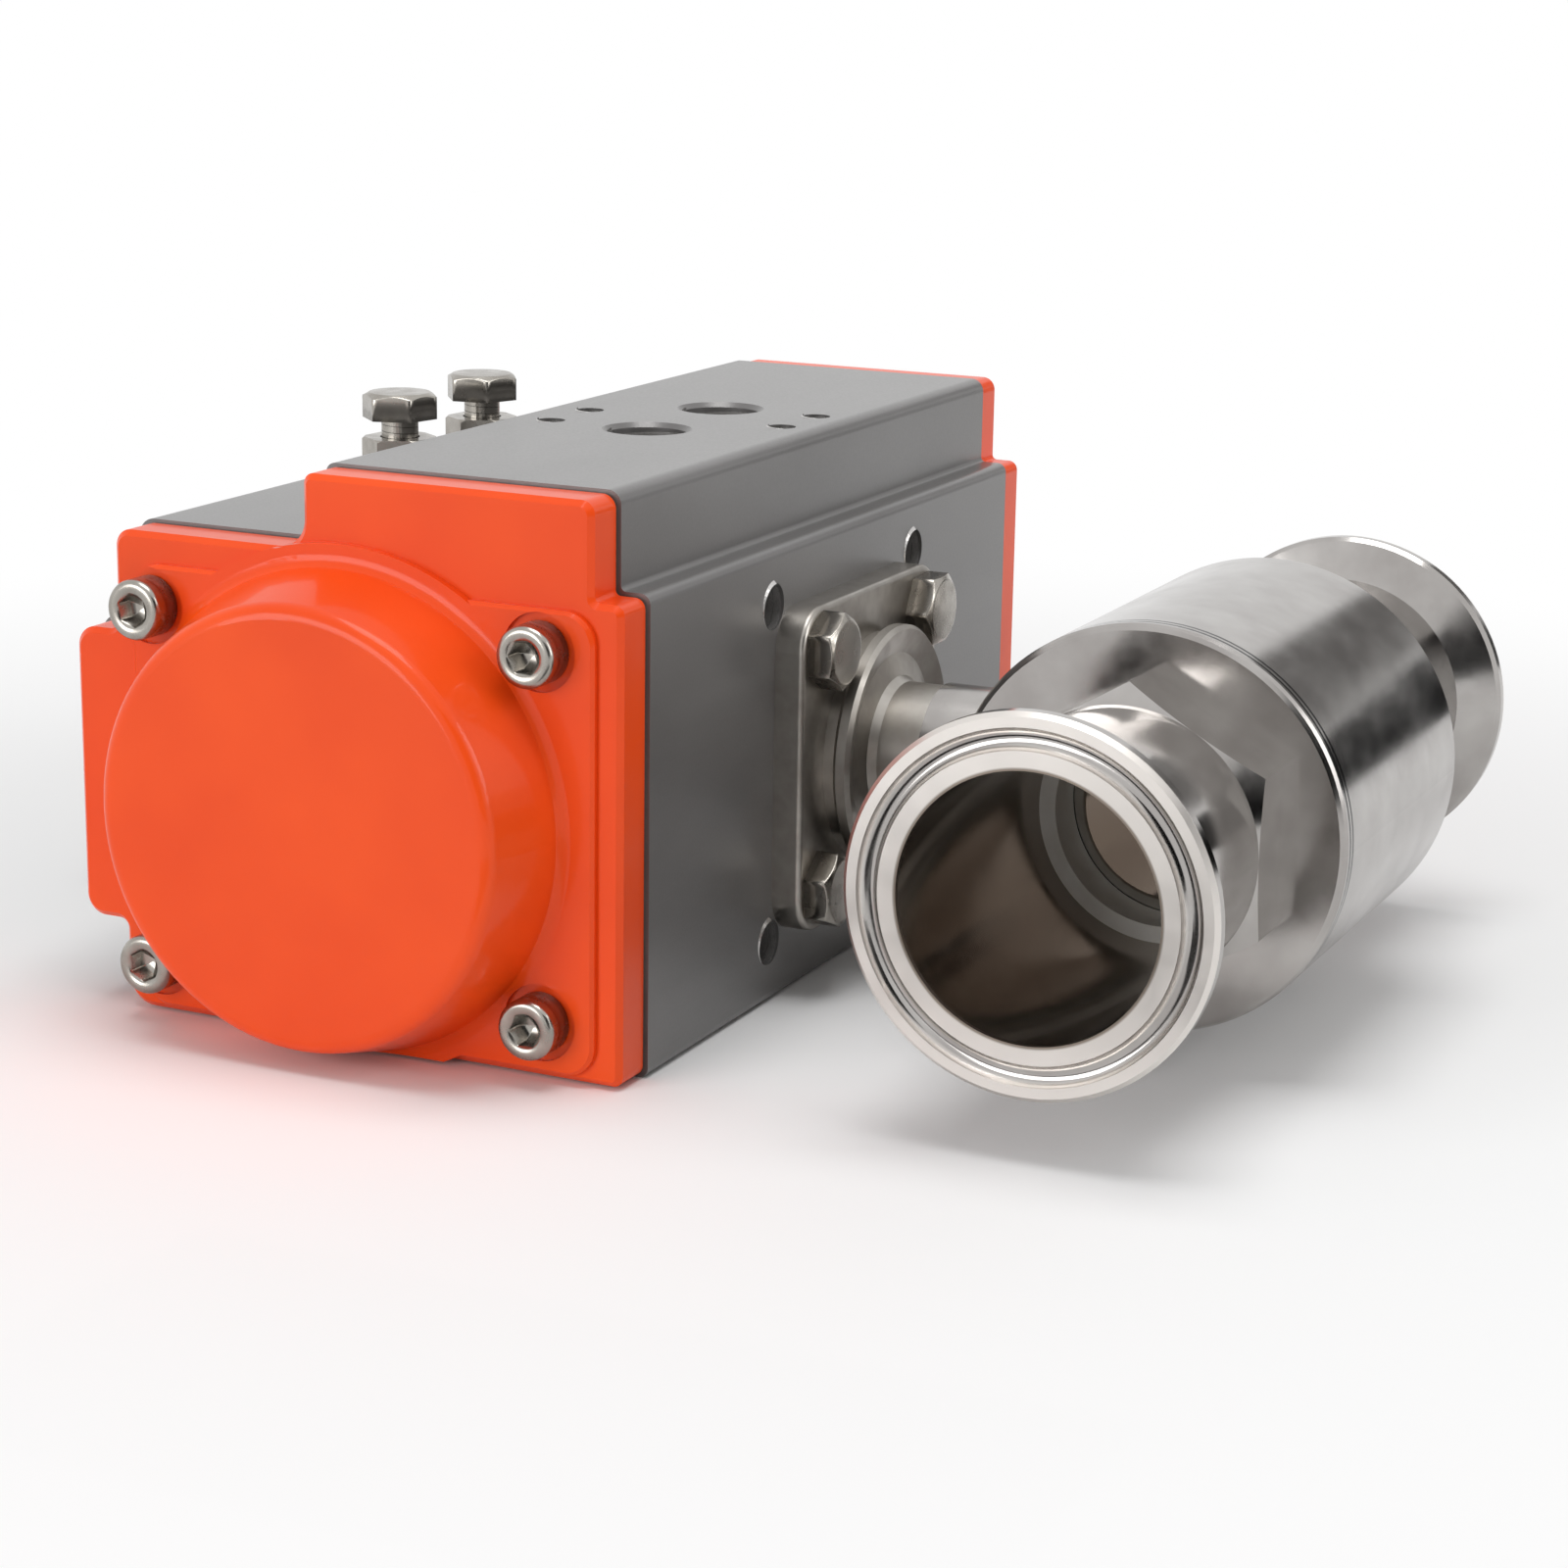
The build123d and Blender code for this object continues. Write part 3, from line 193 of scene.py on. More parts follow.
@dataclass(frozen=True)
class TurnedStainless(Finish):
    """Stainless steel turned and polished; the widest diameter and the clamp faces stay satin."""

    axis: Axis = Axis.FLOW
    ring_mm: float = 0.5
    ring_depth_mm: float = 0.0008
    belt_radius_mm: float = 27.9
    belt_blend_mm: float = 0.2
    belt_roughness: float = 0.13
    face_start_mm: float = 69.0
    face_blend_mm: float = 0.4
    face_roughness: float = 0.27
    # Painted highlight: the clamp faces get a paler colour that stands in for the lamp light they
    # catch.
    face_highlight_colour: str = "#DCD7D2"
    bore_radius_mm: float = 18.0
    bore_blend_mm: float = 0.3
    # Painted shade: the inside of the bore is coloured darker.
    bore_shade_colour: str = "#8C8177"
    seam_middle_mm: float = -24.8
    seam_half_mm: float = 0.6
    seam_line_mm: float = 0.3
    seam_depth_mm: float = 0.4
    # Painted shadow: the seam's two lines are coloured dark to stand for the shadow in its groove.
    seam_shadow_colour: str = "#1C1B1A"
    cloud_mm: tuple[float, float, float] = (6.0, 14.0, 6.0)
    shade_mm: float = 8.0
    smear: float = 0.08

    def pattern(self, tree: Tree, shader: bpy.types.Node) -> None:
        """Lathe rings, a mopped shine, satin belt and faces, a painted highlight on the faces,
        painted shade in the bore and a painted shadow line at the seam.

        Args:
            tree: Material tree.
            shader: The finish's shader.
        """
        point = add_node(tree, "ShaderNodeTexCoord").outputs["Object"]
        across = tuple(1 - part for part in self.axis.value)
        along = add_node(tree, "ShaderNodeVectorMath", {0: point, 1: self.axis.value},
                         operation="DOT_PRODUCT")
        flat = add_node(tree, "ShaderNodeVectorMath", {0: point, 1: across}, operation="MULTIPLY")
        radius = add_node(tree, "ShaderNodeVectorMath", {0: flat.outputs["Vector"]},
                          operation="LENGTH")
        lathe = add_node(tree, "ShaderNodeCombineXYZ",
                         {"X": radius.outputs["Value"], "Y": along.outputs["Value"]})
        cells = add_node(tree, "ShaderNodeVectorMath",
                         {0: lathe.outputs["Vector"], "Scale": 1 / (self.ring_mm * MM)},
                         operation="SCALE")
        rings = add_node(tree, "ShaderNodeTexNoise",
                         {"Vector": cells.outputs["Vector"], "Scale": 1.0, "Detail": 3.0})
        bump = add_node(tree, "ShaderNodeBump",
                        {"Height": rings.outputs["Fac"], "Distance": self.ring_depth_mm * MM})
        tree.links.new(bump.outputs["Normal"], shader.inputs["Normal"])
        belt = add_node(tree, "ShaderNodeMapRange",
                        {"Value": radius.outputs["Value"],
                         "From Min": (self.belt_radius_mm - self.belt_blend_mm) * MM,
                         "From Max": self.belt_radius_mm * MM, "To Min": 0.0,
                         "To Max": self.belt_roughness - self.roughness})
        end = add_node(tree, "ShaderNodeMath", {0: along.outputs["Value"]}, operation="ABSOLUTE")
        face = add_node(tree, "ShaderNodeMapRange",
                        {"Value": end.outputs["Value"], "From Min": self.face_start_mm * MM,
                         "From Max": (self.face_start_mm + self.face_blend_mm) * MM})
        duller = add_node(tree, "ShaderNodeMath",
                          {0: face.outputs["Result"], 1: self.face_roughness - self.roughness},
                          operation="MULTIPLY")
        cloud = mottle(tree, self.cloud_mm, 4.0, self.roughness, self.roughness + self.smear)
        satin = add_node(tree, "ShaderNodeMath",
                         {0: belt.outputs["Result"], 1: duller.outputs["Value"]},
                         operation="MAXIMUM")
        rough = add_node(tree, "ShaderNodeMath", {0: cloud, 1: satin.outputs["Value"]},
                         operation="ADD")
        tree.links.new(rough.outputs["Value"], shader.inputs["Roughness"])
        # Painted shade inside the bore: a darker colour below the bore's radius.
        bore_shade = add_node(tree, "ShaderNodeMapRange",
                          {"Value": radius.outputs["Value"], "From Min": self.bore_radius_mm * MM,
                           "From Max": (self.bore_radius_mm + self.bore_blend_mm) * MM,
                           "To Min": 1.0, "To Max": 0.0})
        shade = mottle(tree, (self.shade_mm,) * 3, 3.0, 0.0, 1.0)
        shine = add_node(tree, "ShaderNodeMix",
                         {0: shade, 6: linear(self.colour), 7: linear(self.second)},
                         data_type="RGBA")
        # Painted highlight: the clamp faces are coloured paler.
        face_highlight = add_node(tree, "ShaderNodeMix", {0: face.outputs["Result"], 6: shine.outputs[2],
                                                 7: linear(self.face_highlight_colour)}, data_type="RGBA")
        colour = add_node(tree, "ShaderNodeMix", {0: bore_shade.outputs["Result"], 6: face_highlight.outputs[2],
                                                  7: linear(self.bore_shade_colour)}, data_type="RGBA")
        # Painted shadow line: two dark lines at the seam on the widest diameter.
        offset = add_node(tree, "ShaderNodeMath",
                          {0: along.outputs["Value"], 1: self.seam_middle_mm * MM},
                          operation="SUBTRACT")
        apart = add_node(tree, "ShaderNodeMath", {0: offset.outputs["Value"]}, operation="ABSOLUTE")
        line = add_node(tree, "ShaderNodeMath",
                        {0: apart.outputs["Value"], 1: self.seam_half_mm * MM,
                         2: self.seam_line_mm * MM},
                        operation="COMPARE")
        outer = add_node(tree, "ShaderNodeMath",
                         {0: radius.outputs["Value"],
                          1: (self.belt_radius_mm - self.seam_depth_mm) * MM},
                         operation="GREATER_THAN")
        seam_shadow = add_node(tree, "ShaderNodeMath",
                        {0: line.outputs["Value"], 1: outer.outputs["Value"]}, operation="MULTIPLY")
        seam_shaded = add_node(tree, "ShaderNodeMix", {0: seam_shadow.outputs["Value"], 6: colour.outputs[2],
                                                 7: linear(self.seam_shadow_colour)}, data_type="RGBA")
        tree.links.new(seam_shaded.outputs[2], shader.inputs["Base Color"])


@dataclass(frozen=True)
class CastStainless(Finish):
    """Cast or cold-headed stainless steel, tumbled bright, with a grained skin."""

    grain_mm: float = 0.45
    grain_depth_mm: float = 0.0025
    wave_mm: float = 5.0
    smear: float = 0.14

    def pattern(self, tree: Tree, shader: bpy.types.Node) -> None:
        """Fine grain, and cloudy patches where the tumbling left it duller.

        Args:
            tree: Material tree.
            shader: The finish's shader.
        """
        grain = mottle(tree, (self.grain_mm,) * 3, 3.0, 0.0, 1.0)
        waves = mottle(tree, (self.wave_mm,) * 3, 3.0, 0.0, 1.0)
        bump = add_node(tree, "ShaderNodeBump",
                        {"Height": grain, "Distance": self.grain_depth_mm * MM})
        tree.links.new(bump.outputs["Normal"], shader.inputs["Normal"])
        rough = add_node(tree, "ShaderNodeMath", {0: waves, 1: self.smear, 2: self.roughness},
                         operation="MULTIPLY_ADD")
        tree.links.new(rough.outputs["Value"], shader.inputs["Roughness"])
        tinted = add_node(tree, "ShaderNodeMix",
                          {0: waves, 6: linear(self.colour), 7: linear(self.second)},
                          data_type="RGBA")
        tree.links.new(tinted.outputs[2], shader.inputs["Base Color"])


@dataclass(frozen=True)
class AnodisedExtrusion(Finish):
    """Hard anodised aluminium extrusion: matt grey with faint die lines along its length."""

    line_mm: float = 0.6
    line_length_mm: float = 70.0
    etch_mm: float = 0.35
    etch_smear: float = 0.08
    depth_mm: float = 0.005
    shade_mm: tuple[float, float, float] = (14.0, 40.0, 14.0)

    def pattern(self, tree: Tree, shader: bpy.types.Node) -> None:
        """Die lines along Y, a fine etched grain and a slow change of the oxide's shade.

        Args:
            tree: Material tree.
            shader: The finish's shader.
        """
        lines = mottle(tree, (self.line_mm, self.line_length_mm, self.line_mm), 3.0, 0.0, 1.0)
        etch = mottle(tree, (self.etch_mm,) * 3, 2.0, 0.0, 1.0)
        both = add_node(tree, "ShaderNodeMath", {0: lines, 1: etch}, operation="ADD")
        bump = add_node(tree, "ShaderNodeBump",
                        {"Height": both.outputs["Value"], "Distance": self.depth_mm * MM})
        tree.links.new(bump.outputs["Normal"], shader.inputs["Normal"])
        rough = add_node(tree, "ShaderNodeMath", {0: etch, 1: self.etch_smear, 2: self.roughness},
                         operation="MULTIPLY_ADD")
        tree.links.new(rough.outputs["Value"], shader.inputs["Roughness"])
        shade = mottle(tree, self.shade_mm, 3.0, 0.0, 1.0)
        tinted = add_node(tree, "ShaderNodeMix",
                          {0: shade, 6: linear(self.colour), 7: linear(self.second)},
                          data_type="RGBA")
        tree.links.new(tinted.outputs[2], shader.inputs["Base Color"])


@dataclass(frozen=True)
class StovedEnamel(Finish):
    """Stoved gloss paint on a die casting, with soft orange-peel and a clear top skin."""

    peel_mm: float = 1.8
    peel_depth_mm: float = 0.007
    film_mm: float = 20.0

    def pattern(self, tree: Tree, shader: bpy.types.Node) -> None:
        """Orange-peel waves and a slight change of film thickness.

        Args:
            tree: Material tree.
            shader: The finish's shader.
        """
        peel = mottle(tree, (self.peel_mm,) * 3, 2.0, 0.0, 1.0)
        bump = add_node(tree, "ShaderNodeBump",
                        {"Height": peel, "Distance": self.peel_depth_mm * MM})
        tree.links.new(bump.outputs["Normal"], shader.inputs["Normal"])
        film = mottle(tree, (self.film_mm,) * 3, 2.0, 0.0, 1.0)
        tinted = add_node(tree, "ShaderNodeMix",
                          {0: film, 6: linear(self.colour), 7: linear(self.second)},
                          data_type="RGBA")
        tree.links.new(tinted.outputs[2], shader.inputs["Base Color"])


@dataclass(frozen=True)
class FineGrain(Finish):
    """Moulded, sheet or plated surface with a small even grain."""

    grain_mm: float = 0.6
    grain_depth_mm: float = 0.006
    shade_mm: float = 4.0

    def pattern(self, tree: Tree, shader: bpy.types.Node) -> None:
        """Even grain in height and a faint mottle in colour.

        Args:
            tree: Material tree.
            shader: The finish's shader.
        """
        grain = mottle(tree, (self.grain_mm,) * 3, 2.0, 0.0, 1.0)
        bump = add_node(tree, "ShaderNodeBump",
                        {"Height": grain, "Distance": self.grain_depth_mm * MM})
        tree.links.new(bump.outputs["Normal"], shader.inputs["Normal"])
        shade = mottle(tree, (self.shade_mm,) * 3, 3.0, 0.0, 1.0)
        tinted = add_node(tree, "ShaderNodeMix",
                          {0: shade, 6: linear(self.colour), 7: linear(self.second)},
                          data_type="RGBA")
        tree.links.new(tinted.outputs[2], shader.inputs["Base Color"])


# Polished 1.4404 steel: dark and pale bands from whatever it reflects, slightly warm; a painted
# highlight on its clamp faces, painted shade in its bore and a painted shadow line at its seam.
POLISHED = TurnedStainless("polished_stainless_steel", "#B4B1AE", "#A39F9C", 0.10, 1.0)
# The same steel on the ball: lapped, the brightest surface of the valve, with painted shade in its
# bore.
LAPPED = TurnedStainless("lapped_stainless_steel", "#D8D6D3", "#D0CDC9", 0.07, 1.0, smear=0.03,
                         bore_radius_mm=12.9, bore_shade_colour="#A3988E")
# Bar steel turned round the stem's axis.
TURNED_BAR = TurnedStainless("turned_stainless_bar", "#C6C4C1", "#B9B5B0", 0.2, 1.0, axis=Axis.STEM,
                             bore_radius_mm=0.0)
# Cast pad: silky, a little darker than the polished parts.
CAST_STEEL = CastStainless("cast_stainless_steel", "#AEAAA4", "#948F89", 0.29, 1.0, smear=0.12)
# Cold-headed A2 fasteners: bright with a faintly mottled skin.
FASTENER = CastStainless("headed_stainless_steel", "#A9A59E", "#96918A", 0.2, 1.0, grain_mm=0.8,
                         grain_depth_mm=0.001, wave_mm=2.5, smear=0.1)
# Hard anodising reads as dark grey ceramic: it hardly mirrors, and lights up when seen along it.
ANODISED = AnodisedExtrusion("hard_anodised_aluminium", "#5F5D5C", "#696766", 0.36, 0.3,
                             (("Coat Weight", 0.6), ("Coat Roughness", 0.3)))
# Gloss stoved enamel over the caps' die casting.
ENAMEL = StovedEnamel("orange_stoved_enamel", "#EE5014", "#E64810", 0.36, shader_values=(
    ("Specular IOR Level", 0.15), ("Coat Weight", 0.3), ("Coat Roughness", 0.1)))
# Threads tapped after anodising: bare bright aluminium in the dark holes.
TAPPED = FineGrain("bare_tapped_aluminium", "#CFCDCB", "#BFBDBB", 0.25, 0.8)
DIE_CAST = FineGrain("die_cast_aluminium", "#B9B9BA", "#9C9C9E", 0.34, 1.0)
NICKEL = FineGrain("nickel_plated_steel", "#B4B1AA", "#9B978F", 0.24, 1.0, grain_depth_mm=0.002)
FLUORO = FineGrain("white_fluoroplastic", "#F3F2EE", "#EAE8E2", 0.38, grain_depth_mm=0.003)
GASKET = FineGrain("pressed_fibre_gasket", "#A79E95", "#8F867D", 0.8)
NITRILE = FineGrain("black_nitrile_rubber", "#1B1B1C", "#262627", 0.5)
ACETAL = FineGrain("black_acetal", "#232325", "#2C2C2E", 0.4)
NYLON = FineGrain("moulded_black_nylon", "#1E1F21", "#27282A", 0.45, grain_mm=0.9,
                  grain_depth_mm=0.012)


# ---- Meshes ----

# Edges bent more than this stay crisp in a lofted solid.
CRISP_ANGLE = math.radians(28)
# A formed hexagon head: crown's share of the flats, slope of its chamfer, and its rim's rounding.
CROWN_SHARE = 0.475
CHAMFER_SLOPE = math.tan(math.radians(30))
CHAMFER_STEPS = 7
RIM_MM = 0.12
RIM_DROP_MM = 0.03
RIM_INSET_MM = 0.4


def hexagonal(flats: float, limit: float = math.inf) -> Shape:
    """Outline of a hexagon, cut back where it passes a circle.

    Args:
        flats: Width across the flats.
        limit: Radius of the circle.

    Returns:
        Function that gives the outline's radius at an angle.
    """
    sixth = math.pi / 3
    return lambda angle: min(flats / 2 / math.cos(angle % sixth - sixth / 2), limit)


def lofted(name: str, rings: Rings, segments: int = 96) -> bpy.types.Object:
    """Skins a stack of outlines round the Z axis into a closed solid.

    Args:
        name: Name of the object.
        rings: Outline as a radius or a function of angle, and its height, in millimetres,
            in order from the outer foot over the top to the innermost ring.
        segments: Points in each outline; a multiple of 6 keeps a hexagon's corners.

    Returns:
        Mesh object with its real edges left crisp.
    """
    build = bmesh.new()
    loops = []
    for outline, height in rings:
        loop = []
        for index in range(segments):
            angle = math.tau * index / segments
            radius = outline(angle) if callable(outline) else outline
            place = (radius * math.cos(angle), radius * math.sin(angle), height)
            loop.append(build.verts.new([part * MM for part in place]))
        loops.append(loop)
    for lower, upper in pairwise(loops):
        for index in range(segments):
            after = (index + 1) % segments
            build.faces.new((lower[index], lower[after], upper[after], upper[index]))
    build.faces.new(list(reversed(loops[0])))
    build.faces.new(loops[-1])
    for face in build.faces:
        face.smooth = True
    for edge in build.edges:
        edge.smooth = edge.calc_face_angle(0.0) < CRISP_ANGLE
    mesh = bpy.data.meshes.new(name)
    build.to_mesh(mesh)
    build.free()
    made = bpy.data.objects.new(name, mesh)
    bpy.context.scene.collection.objects.link(made)
    return made


def hexagon_rings(flats: float, foot: float, top: float) -> Rings:
    """Rings of a hexagonal head with the round chamfer that its forming die leaves.

    Args:
        flats: Width across the flats.
        foot: Height of the seat.
        top: Height of the head's top.

    Returns:
        Rings for lofted, from the seat up.
    """
    crown = CROWN_SHARE * flats
    chamfer = (flats / math.sqrt(3) - crown) * CHAMFER_SLOPE
    rings: Rings = [(hexagonal(flats), foot)]
    for index in range(CHAMFER_STEPS):
        drop = chamfer * (1 - index / (CHAMFER_STEPS - 1))
        rings.append((hexagonal(flats, crown + drop / CHAMFER_SLOPE), top - RIM_MM - drop))
    return rings + [(crown - RIM_MM, top - RIM_DROP_MM), (crown - RIM_INSET_MM, top)]


def plain_mesh(source: bpy.types.Object, name: str) -> bpy.types.Object:
    """Freezes an object with modifiers into a plain mesh object at the origin.

    Args:
        source: Object whose evaluated shape is wanted. It is removed.
        name: Name of the new piece.

    Returns:
        New object holding the result, without modifiers.
    """
    graph = bpy.context.evaluated_depsgraph_get()
    mesh = bpy.data.meshes.new_from_object(source.evaluated_get(graph), depsgraph=graph)
    mesh.name = name
    bpy.data.objects.remove(source)
    piece = bpy.data.objects.new(name, mesh)
    bpy.context.scene.collection.objects.link(piece)
    return piece


# ---- Geometry trees ----

# A thread ridge: points in one turn, half its width and its buried root, as shares of the
# pitch and of the ridge.
TURN_POINTS = 40
RIDGE_HALF_WIDTH = 0.46
RIDGE_ROOT = 0.12


def new_tree(name: str, inputs: dict[str, tuple[str, object]]) -> tuple[Tree, bpy.types.Node]:
    """Starts a geometry tree with a geometry input and named sizes.

    Args:
        name: Name of the tree.
        inputs: Input name to its socket type and default value.

    Returns:
        The tree and its group input node.
    """
    tree = bpy.data.node_groups.new(name, "GeometryNodeTree")
    tree.interface.new_socket("Geometry", in_out="INPUT", socket_type="NodeSocketGeometry")
    for label, (kind, value) in inputs.items():
        socket = tree.interface.new_socket(label, in_out="INPUT", socket_type=kind)
        if value is not None:
            socket.default_value = value
    tree.interface.new_socket("Geometry", in_out="OUTPUT", socket_type="NodeSocketGeometry")
    return tree, add_node(tree, "NodeGroupInput")


def end_tree(tree: Tree, given: bpy.types.Node, instances: Socket) -> None:
    """Ends a geometry tree with real geometry in the given material.

    Args:
        tree: Geometry tree.
        given: Its group input node, which has a Material output.
        instances: Geometry to finish.
    """
    real = add_node(tree, "GeometryNodeRealizeInstances", {"Geometry": instances})
    dressed = add_node(tree, "GeometryNodeSetMaterial",
                       {"Geometry": real.outputs[0], "Material": given.outputs["Material"]})
    add_node(tree, "NodeGroupOutput", {0: dressed.outputs[0]})


def thread_tree() -> Tree:
    """Builds the tree that winds a vee ridge round an axis at every marked point.

    Returns:
        Tree with the thread's radius, ridge, pitch, length and direction as inputs.
    """
    tree = bpy.data.node_groups.get("wound_thread")
    if tree is not None:
        return tree
    tree, given = new_tree("wound_thread", {
        "Radius": ("NodeSocketFloat", 0.003), "Ridge": ("NodeSocketFloat", 0.0003),
        "Pitch": ("NodeSocketFloat", 0.001), "Length": ("NodeSocketFloat", 0.008),
        "Direction": ("NodeSocketVector", (0.0, 0.0, 1.0)),
        "Material": ("NodeSocketMaterial", None)})
    out = given.outputs
    turns = add_node(tree, "ShaderNodeMath", {0: out["Length"], 1: out["Pitch"]},
                     operation="DIVIDE")
    helix = add_node(tree, "GeometryNodeCurveSpiral",
                     {"Resolution": TURN_POINTS, "Rotations": turns.outputs[0],
                      "Start Radius": out["Radius"], "End Radius": out["Radius"],
                      "Height": out["Length"]})
    upright = add_node(tree, "GeometryNodeSetCurveNormal", {"Curve": helix.outputs[0]}, mode="Z_UP")
    half = add_node(tree, "ShaderNodeMath", {0: out["Pitch"], 1: RIDGE_HALF_WIDTH},
                    operation="MULTIPLY")
    under = add_node(tree, "ShaderNodeMath", {0: half.outputs[0], 1: -1.0}, operation="MULTIPLY")
    root = add_node(tree, "ShaderNodeMath", {0: out["Ridge"], 1: -RIDGE_ROOT}, operation="MULTIPLY")
    crest = add_node(tree, "ShaderNodeCombineXYZ", {"X": out["Ridge"]})
    low = add_node(tree, "ShaderNodeCombineXYZ", {"X": root.outputs[0], "Y": under.outputs[0]})
    high = add_node(tree, "ShaderNodeCombineXYZ", {"X": root.outputs[0], "Y": half.outputs[0]})
    vee = add_node(tree, "GeometryNodeCurvePrimitiveQuadrilateral", mode="POINTS")
    for index, corner in enumerate((low, crest, crest, high), start=1):
        tree.links.new(corner.outputs[0], vee.inputs[f"Point {index}"])
    ridge = add_node(tree, "GeometryNodeCurveToMesh",
                     {"Curve": upright.outputs[0], "Profile Curve": vee.outputs[0],
                      "Fill Caps": True})
    turn = add_node(tree, "FunctionNodeAlignRotationToVector", {"Vector": out["Direction"]},
                    axis="Z")
    copies = add_node(tree, "GeometryNodeInstanceOnPoints",
                      {"Points": out["Geometry"], "Instance": ridge.outputs[0],
                       "Rotation": turn.outputs[0]})
    end_tree(tree, given, copies.outputs[0])
    return tree


def fastener_tree() -> Tree:
    """Builds the tree that sets a fastener at every marked point, each tightened to its own angle.

    Returns:
        Tree with the fastener, its direction, and the seed and range of its turn as inputs.
    """
    tree = bpy.data.node_groups.get("set_fasteners")
    if tree is not None:
        return tree
    tree, given = new_tree("set_fasteners", {
        "Fastener": ("NodeSocketObject", None), "Direction": ("NodeSocketVector", (0.0, 0.0, 1.0)),
        "Seed": ("NodeSocketInt", 3), "Turn": ("NodeSocketFloat", math.tau),
        "Material": ("NodeSocketMaterial", None)})
    out = given.outputs
    fastener = add_node(tree, "GeometryNodeObjectInfo", {"Object": out["Fastener"]})
    aim = add_node(tree, "FunctionNodeAlignRotationToVector", {"Vector": out["Direction"]},
                   axis="Z")
    chance = add_node(tree, "FunctionNodeRandomValue", {"Seed": out["Seed"], 3: out["Turn"]},
                      data_type="FLOAT")
    spin = add_node(tree, "FunctionNodeAxisAngleToRotation",
                    {"Axis": (0.0, 0.0, 1.0), "Angle": chance.outputs[1]})
    both = add_node(tree, "FunctionNodeRotateRotation",
                    {"Rotation": aim.outputs[0], "Rotate By": spin.outputs[0]},
                    rotation_space="LOCAL")
    copies = add_node(tree, "GeometryNodeInstanceOnPoints",
                      {"Points": out["Geometry"], "Instance": fastener.outputs["Geometry"],
                       "Rotation": both.outputs[0]})
    end_tree(tree, given, copies.outputs[0])
    return tree


def grown(name: str, points: list[Vector], tree: Tree,
          values: dict[str, object]) -> bpy.types.Object:
    """Runs a geometry tree on marked points and returns the plain result.

    Args:
        name: Name of the piece.
        points: Places of the copies.
        tree: Geometry tree.
        values: The tree's named inputs.

    Returns:
        Mesh object without modifiers.
    """
    marks = bpy.data.meshes.new(name + "_places")
    marks.from_pydata([tuple(point) for point in points], [], [])
    helper = bpy.data.objects.new(name + "_places", marks)
    bpy.context.scene.collection.objects.link(helper)
    modifier = helper.modifiers.new("grow", "NODES")
    modifier.node_group = tree
    for item in tree.interface.items_tree:
        if item.item_type == "SOCKET" and item.in_out == "INPUT" and item.name in values:
            modifier[item.identifier] = values[item.name]
    bpy.context.view_layer.update()
    return plain_mesh(helper, name)


# ---- Places read from the frame ----

def mount_point(name: str) -> Vector:
    """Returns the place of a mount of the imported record."""
    return Vector(next(m["pos_m"] for m in frame["record"]["mounts"] if m["name"] == name))


def middle(node: str) -> Vector:
    """Returns the middle of a node's box."""
    low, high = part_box(node)
    return (Vector(low) + Vector(high)) / 2


def corners(node: str, inset: float, across: tuple[int, int], depth: float) -> list[Vector]:
    """Finds the axes of four like fasteners that one node holds.

    Args:
        node: Name of the node.
        inset: From the node's box to a fastener's axis, in metres.
        across: The two directions of the frame that the four lie in.
        depth: Their place along the third direction.

    Returns:
        The four places.
    """
    low, high = (Vector(corner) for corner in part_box(node))
    first, second = across
    third = 3 - first - second
    places = []
    for a in (low[first] + inset, high[first] - inset):
        for b in (low[second] + inset, high[second] - inset):
            place = Vector()
            place[first], place[second], place[third] = a, b, depth
            places.append(place)
    return places


def dress(finishes: dict[str, Finish]) -> None:
    """Gives CAD nodes their finishes.

    Args:
        finishes: Node name to finish.
    """
    for node, finish in finishes.items():
        slots = frame["nodes"][node].data.materials
        slots.clear()
        slots.append(finish.material())
        LOG.info("%s: %s", node, finish.name)


# ---- Sub-assemblies ----

@dataclass
class HexBolt:
    """Hexagon-head screw or nut with the round chamfer of a formed head."""

    flats_mm: float
    head_mm: float
    shank_mm: float
    length_mm: float
    tip_mm: float = 0.0
    tip_length_mm: float = 0.0
    shank_chamfer_mm: float = 0.4
    tip_chamfer_mm: float = 0.3

    def master(self, name: str) -> bpy.types.Object:
        """Builds the screw standing on its seat, with its shank below.

        Args:
            name: Name of the object.

        Returns:
            The screw at the origin.
        """
        shank = self.shank_mm / 2
        end = -self.length_mm
        cut = self.shank_chamfer_mm
        rings: Rings = [(shank - cut, end), (shank, end + cut)]
        if self.tip_mm:
            tip = self.tip_mm / 2
            step = end + self.tip_length_mm
            cut = self.tip_chamfer_mm
            rings = [(tip - cut, end), (tip, end + cut), (tip, step), (shank, step)]
        head = hexagon_rings(self.flats_mm, 0.0, self.head_mm)
        return lofted(name, rings + [(shank, 0.0)] + head)


